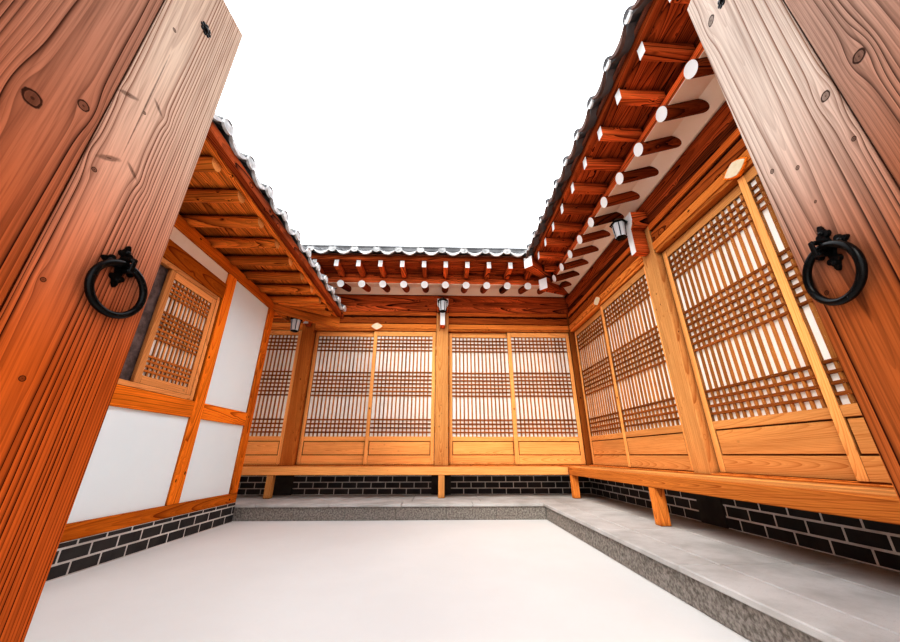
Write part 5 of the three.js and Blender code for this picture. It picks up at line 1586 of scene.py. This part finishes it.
def ring_plate(work, seat):
    """Four arms in a cross, each ending in three round lobes, with a rivet on each."""
    def lobe(offset, radius, narrower=0.86, depth=0.005, sides=18):
        place = Matrix.Translation(seat + offset + Vector((0, -0.0025, 0))) @ FACING
        pour(cone(radius, radius * narrower, depth, sides, place), work)
    for turn, grown in ((90, 1.0), (270, 1.0), (0, 0.84), (180, 0.84)):
        way, side = on_face(turn, grown), on_face(turn + 90, grown)
        for along, across, radius in LOBES:
            lobe(way * along + side * across, radius)
        dome(work, seat + way * 0.032 + Vector((0, -0.005, 0)), 0.0050, 0.8)
    lobe(Vector(), 0.014)
    lobe(Vector((0, -0.0035, -0.003)), 0.0068, 0.0056 / 0.0068, 0.008, 16)


def ring(work, centre):
    """A torus spun from a circle, standing parallel to the leaf."""
    part = bmesh.new()
    aside = Matrix.Translation((RING_RADIUS, 0, 0))
    bmesh.ops.create_circle(part, segments=14, radius=RING_ROD, matrix=aside @ FACING)
    bmesh.ops.spin(part, geom=part.edges[:], cent=(0, 0, 0), axis=(0, 0, 1), angle=2 * math.pi, steps=48,
                   use_merge=True)
    bmesh.ops.recalc_face_normals(part, faces=part.faces)
    pour(move(part, Matrix.Translation(centre) @ FACING), work)


def gate_iron(name, place):
    plate, hoop = bmesh.new(), bmesh.new()
    x = LEAF_WIDTH - RING_FROM_EDGE
    seat = Vector((x, -LEAF_HALF, RING_Z + RING_RADIUS))
    ring_plate(plate, seat)
    front = seat - Vector((0, 0.003, 0))
    for low, high in EYE_BARS:
        pour(block(front + Vector(low), front + Vector(high), 0.0015), plate)
    dome(plate, STUD_SPOT, 0.009, 0.7)
    for turn in range(0, 360, 45):
        dome(plate, STUD_SPOT + on_face(turn, 0.014), 0.0056, 0.4)
    ring(hoop, (x, -LEAF_HALF - 0.016, RING_Z))
    finish(plate, "ring_plate_" + name, IRON, "gate_" + name, place=place, smooth_faces=True)
    finish(hoop, "pull_ring_" + name, IRON, "ring_" + name, ["gate_ring_" + name], place=place,
           smooth_faces=True)


for name, (side, opened) in LEAVES.items():
    gate_leaf(name, leaf_place(side, opened), GATE_HEARTS[name])
    gate_iron(name, leaf_place(side, opened))

# %% [markdown]
# ## Lanterns
# A black pressed cap over six panes of glass in a thin iron cage, on an arm before the
# beam end. The third hangs from the lower eave.

# %% Lanterns
GLASS_TOP, CAP_TALL, CAGE = 0.21, 0.07, 0.08
ARM, HEAD_GAP = GLASS_TOP + 0.03, 0.1035
IRON_RINGS = ((CAGE + 0.024, 0.062, GLASS_TOP, GLASS_TOP + 0.042),
              (0.062, 0.03, GLASS_TOP + 0.042, GLASS_TOP + CAP_TALL - 0.002),
              (CAGE + 0.013, CAGE + 0.013, GLASS_TOP - 0.008, GLASS_TOP), (0.03, 0.045, 0.001, 0.014),
              (CAGE * 0.82, CAGE * 0.82, 0.014, 0.02))
GLASS_RING = (CAGE * 0.76, CAGE * 0.94, 0.022, GLASS_TOP - 0.008)


def lantern(x, y, z, arm, name):
    iron, glass = bmesh.new(), bmesh.new()
    base = Vector((x, y, z))
    for work, rings in ((iron, IRON_RINGS), (glass, (GLASS_RING,))):
        for low, high, z0, z1 in rings:
            place = Matrix.Translation(base + UP * ((z0 + z1) / 2))
            pour(cone(low, high, z1 - z0, 6, place), work)
    for k in range(6):
        way = turned(60 * k).to_3x3() @ Vector((CAGE, 0, 0))
        foot, head = base + UP * 0.02 + way * 0.79, base + UP * (GLASS_TOP - 0.006) + way * 0.98
        run = head - foot
        pour(cone(0.006, 0.006, run.length, 6, Matrix.Translation((head + foot) / 2) @ aimed(run)), iron)
    for low, high in arm:
        pour(block(base + Vector(low), base + Vector(high), 0.003), iron)
    finish(iron, "lamp_" + name, IRON, nodes=["lantern_" + name])
    finish(glass, "lamp_glass_" + name, LAMP_GLASS)


def all_lanterns():
    lantern(0, -0.264, 3.085, [((-0.012, 0, ARM), (0.012, HEAD_GAP, ARM + 0.024))], "back")
    lantern(COURT_X - 0.264, RIGHT_POSTS[0], 3.085, [((0, -0.012, ARM), (HEAD_GAP, 0.012, ARM + 0.024))],
            "right")
    hook = LEFT_SOFFIT - 0.03 - HAIR
    foot = hook - GLASS_TOP - CAP_TALL - 0.04
    stem = hook - foot
    lantern(-2.4, -0.54, foot, [((-0.009, -0.009, ARM), (0.009, 0.009, stem)),
                                ((-0.035, -0.035, stem - 0.012), (0.035, 0.035, stem))], "left")


all_lanterns()

# %% Plates on the lintels
PLATE = (0.236, 0.15)
PLATE_SPOTS = (("x", 0, -1.184, 2.905), ("y", COURT_X, -3.755, 2.89), ("y", COURT_X, -1.19, 2.905))


def plate_outline(grown):
    """A lozenge with swelling sides and small points."""
    half_wide, half_tall = PLATE[0] / 2 * grown, PLATE[1] / 2 * grown
    quarter = []
    for t in (k / 8 for k in range(8)):
        swell = 0.11 * math.sin(math.pi * t)
        quarter.append(((1 - t + swell * 0.5) * half_wide, (t + swell) * half_tall))
    top = [*quarter, (0, half_tall), *((-a, b) for a, b in quarter[:0:-1]), (-half_wide, 0)]
    return top + [(a, -b) for a, b in top[-2:0:-1]]


def lintel_plates():
    rims, plates = benches(2)
    for axis, face, p, z in PLATE_SPOTS:
        for work, grown, front in ((rims, 1.0, 0.008), (plates, 0.86, 0.013)):
            outline = [(p + a, z + b) for a, b in plate_outline(grown)]
            prism(work, outline, other(axis), face - front, face + 0.02, axis)
    finish(rims, "lintel_plate_rims", RICH_PINE)
    finish(plates, "lintel_plates", CREAM)


lintel_plates()

# %% [markdown]
# ## Stone
# The platform's kerb is a row of long slabs whose lip stands out over the riser, with
# slabs of paving behind it. Under each post sits a block of the same stone, near black as painted shade.

# %% Stone platform
EDGE, SLAB_RUN, SLAB_GAP, LIP = 0.24, 0.9, 0.006, 0.034
RISER_RUN, RISER_INSET = 0.65, 0.024
PLATFORM_END = -5.45


def platform():
    stones, riser = benches(2)
    top = PLATFORM_TOP
    front_y, front_x = -PLATFORM_REACH, COURT_X - PLATFORM_REACH

    def slabs(axis, start, end, front, back):
        for run in pairs(spaced(start, end, SLAB_RUN)):
            (a, b), (c, d) = widened(run, -SLAB_GAP / 2), widened((front, back), -SLAB_GAP / 2)
            pour(block(spot(axis, a, c, top - LIP), spot(axis, b, d, top), 0.006), stones)
    slabs("x", WEST_X, front_x, front_y, front_y + EDGE)
    slabs("y", PLATFORM_END, front_y + EDGE, front_x, front_x + EDGE)
    depth = (PLATFORM_REACH - EDGE) / 2
    for row in range(2):
        for axis, start, end, front in (("x", WEST_X, COURT_X - 0.002, front_y),
                                        ("y", PLATFORM_END, front_y + EDGE, front_x)):
            near = front + EDGE + row * depth
            slabs(axis, start, end, near, near + depth - 0.001)
    for low, high in (((WEST_X, 0, 0.001), (EAST_X, BACK_DEPTH, top - 0.002)),
                      ((COURT_X, SOUTH_Y, 0.001), (EAST_X, -0.002, top - 0.002)),
                      ((WEST_X + 0.01, front_y + 0.2, 0.001), (COURT_X - 0.01, -0.02, top - 0.008)),
                      ((front_x + 0.2, PLATFORM_END + 0.01, 0.001),
                       (COURT_X - 0.01, front_y + 0.2, top - 0.008))):
        pour(block(low, high), riser)
    for axis, start, end, front in (("x", WEST_X, front_x, front_y), ("y", PLATFORM_END, front_y, front_x)):
        face = front + RISER_INSET
        for a, b in pairs(spaced(start + 0.01, end + RISER_INSET, RISER_RUN)):
            low, high = spot(axis, a + 0.003, face, 0.001), spot(axis, b, face + 0.2, top - 0.02)
            pour(block(low, high, 0.005), riser)
    finish(stones, "platform_slabs", GRANITE, nodes=["stylobate"])
    finish(riser, "platform_riser", RISER)


def post_stones():
    work = bench()
    level = (PLATFORM_TOP + 0.001, BASE_TOP - 0.001)
    for axis, face, posts in (("x", 0, BACK_POSTS[1:3]), ("y", COURT_X, RIGHT_POSTS)):
        for p in posts:
            wing_beam(work, axis, face, -1, (p - 0.15, p + 0.15), (-0.03, 0.012), level)
    finish(work, "post_stones", SHADED_FOOTING)


platform()
post_stones()

# %% The last bare nodes, and a floor
dress(["roof_back_rear", "roof_right_outer", "roof_left"], CLAY)


def make_floor():
    part = bmesh.new()
    bmesh.ops.create_grid(part, x_segments=1, y_segments=1, size=40)
    mesh = as_mesh(part, "floor")
    mesh.materials.append(speckle("floor_pale", (0.72, 0.71, 0.69), (0.76, 0.75, 0.73), 1.0, 0.9, 0.02))
    floor = place_object("floor", mesh)


make_floor()
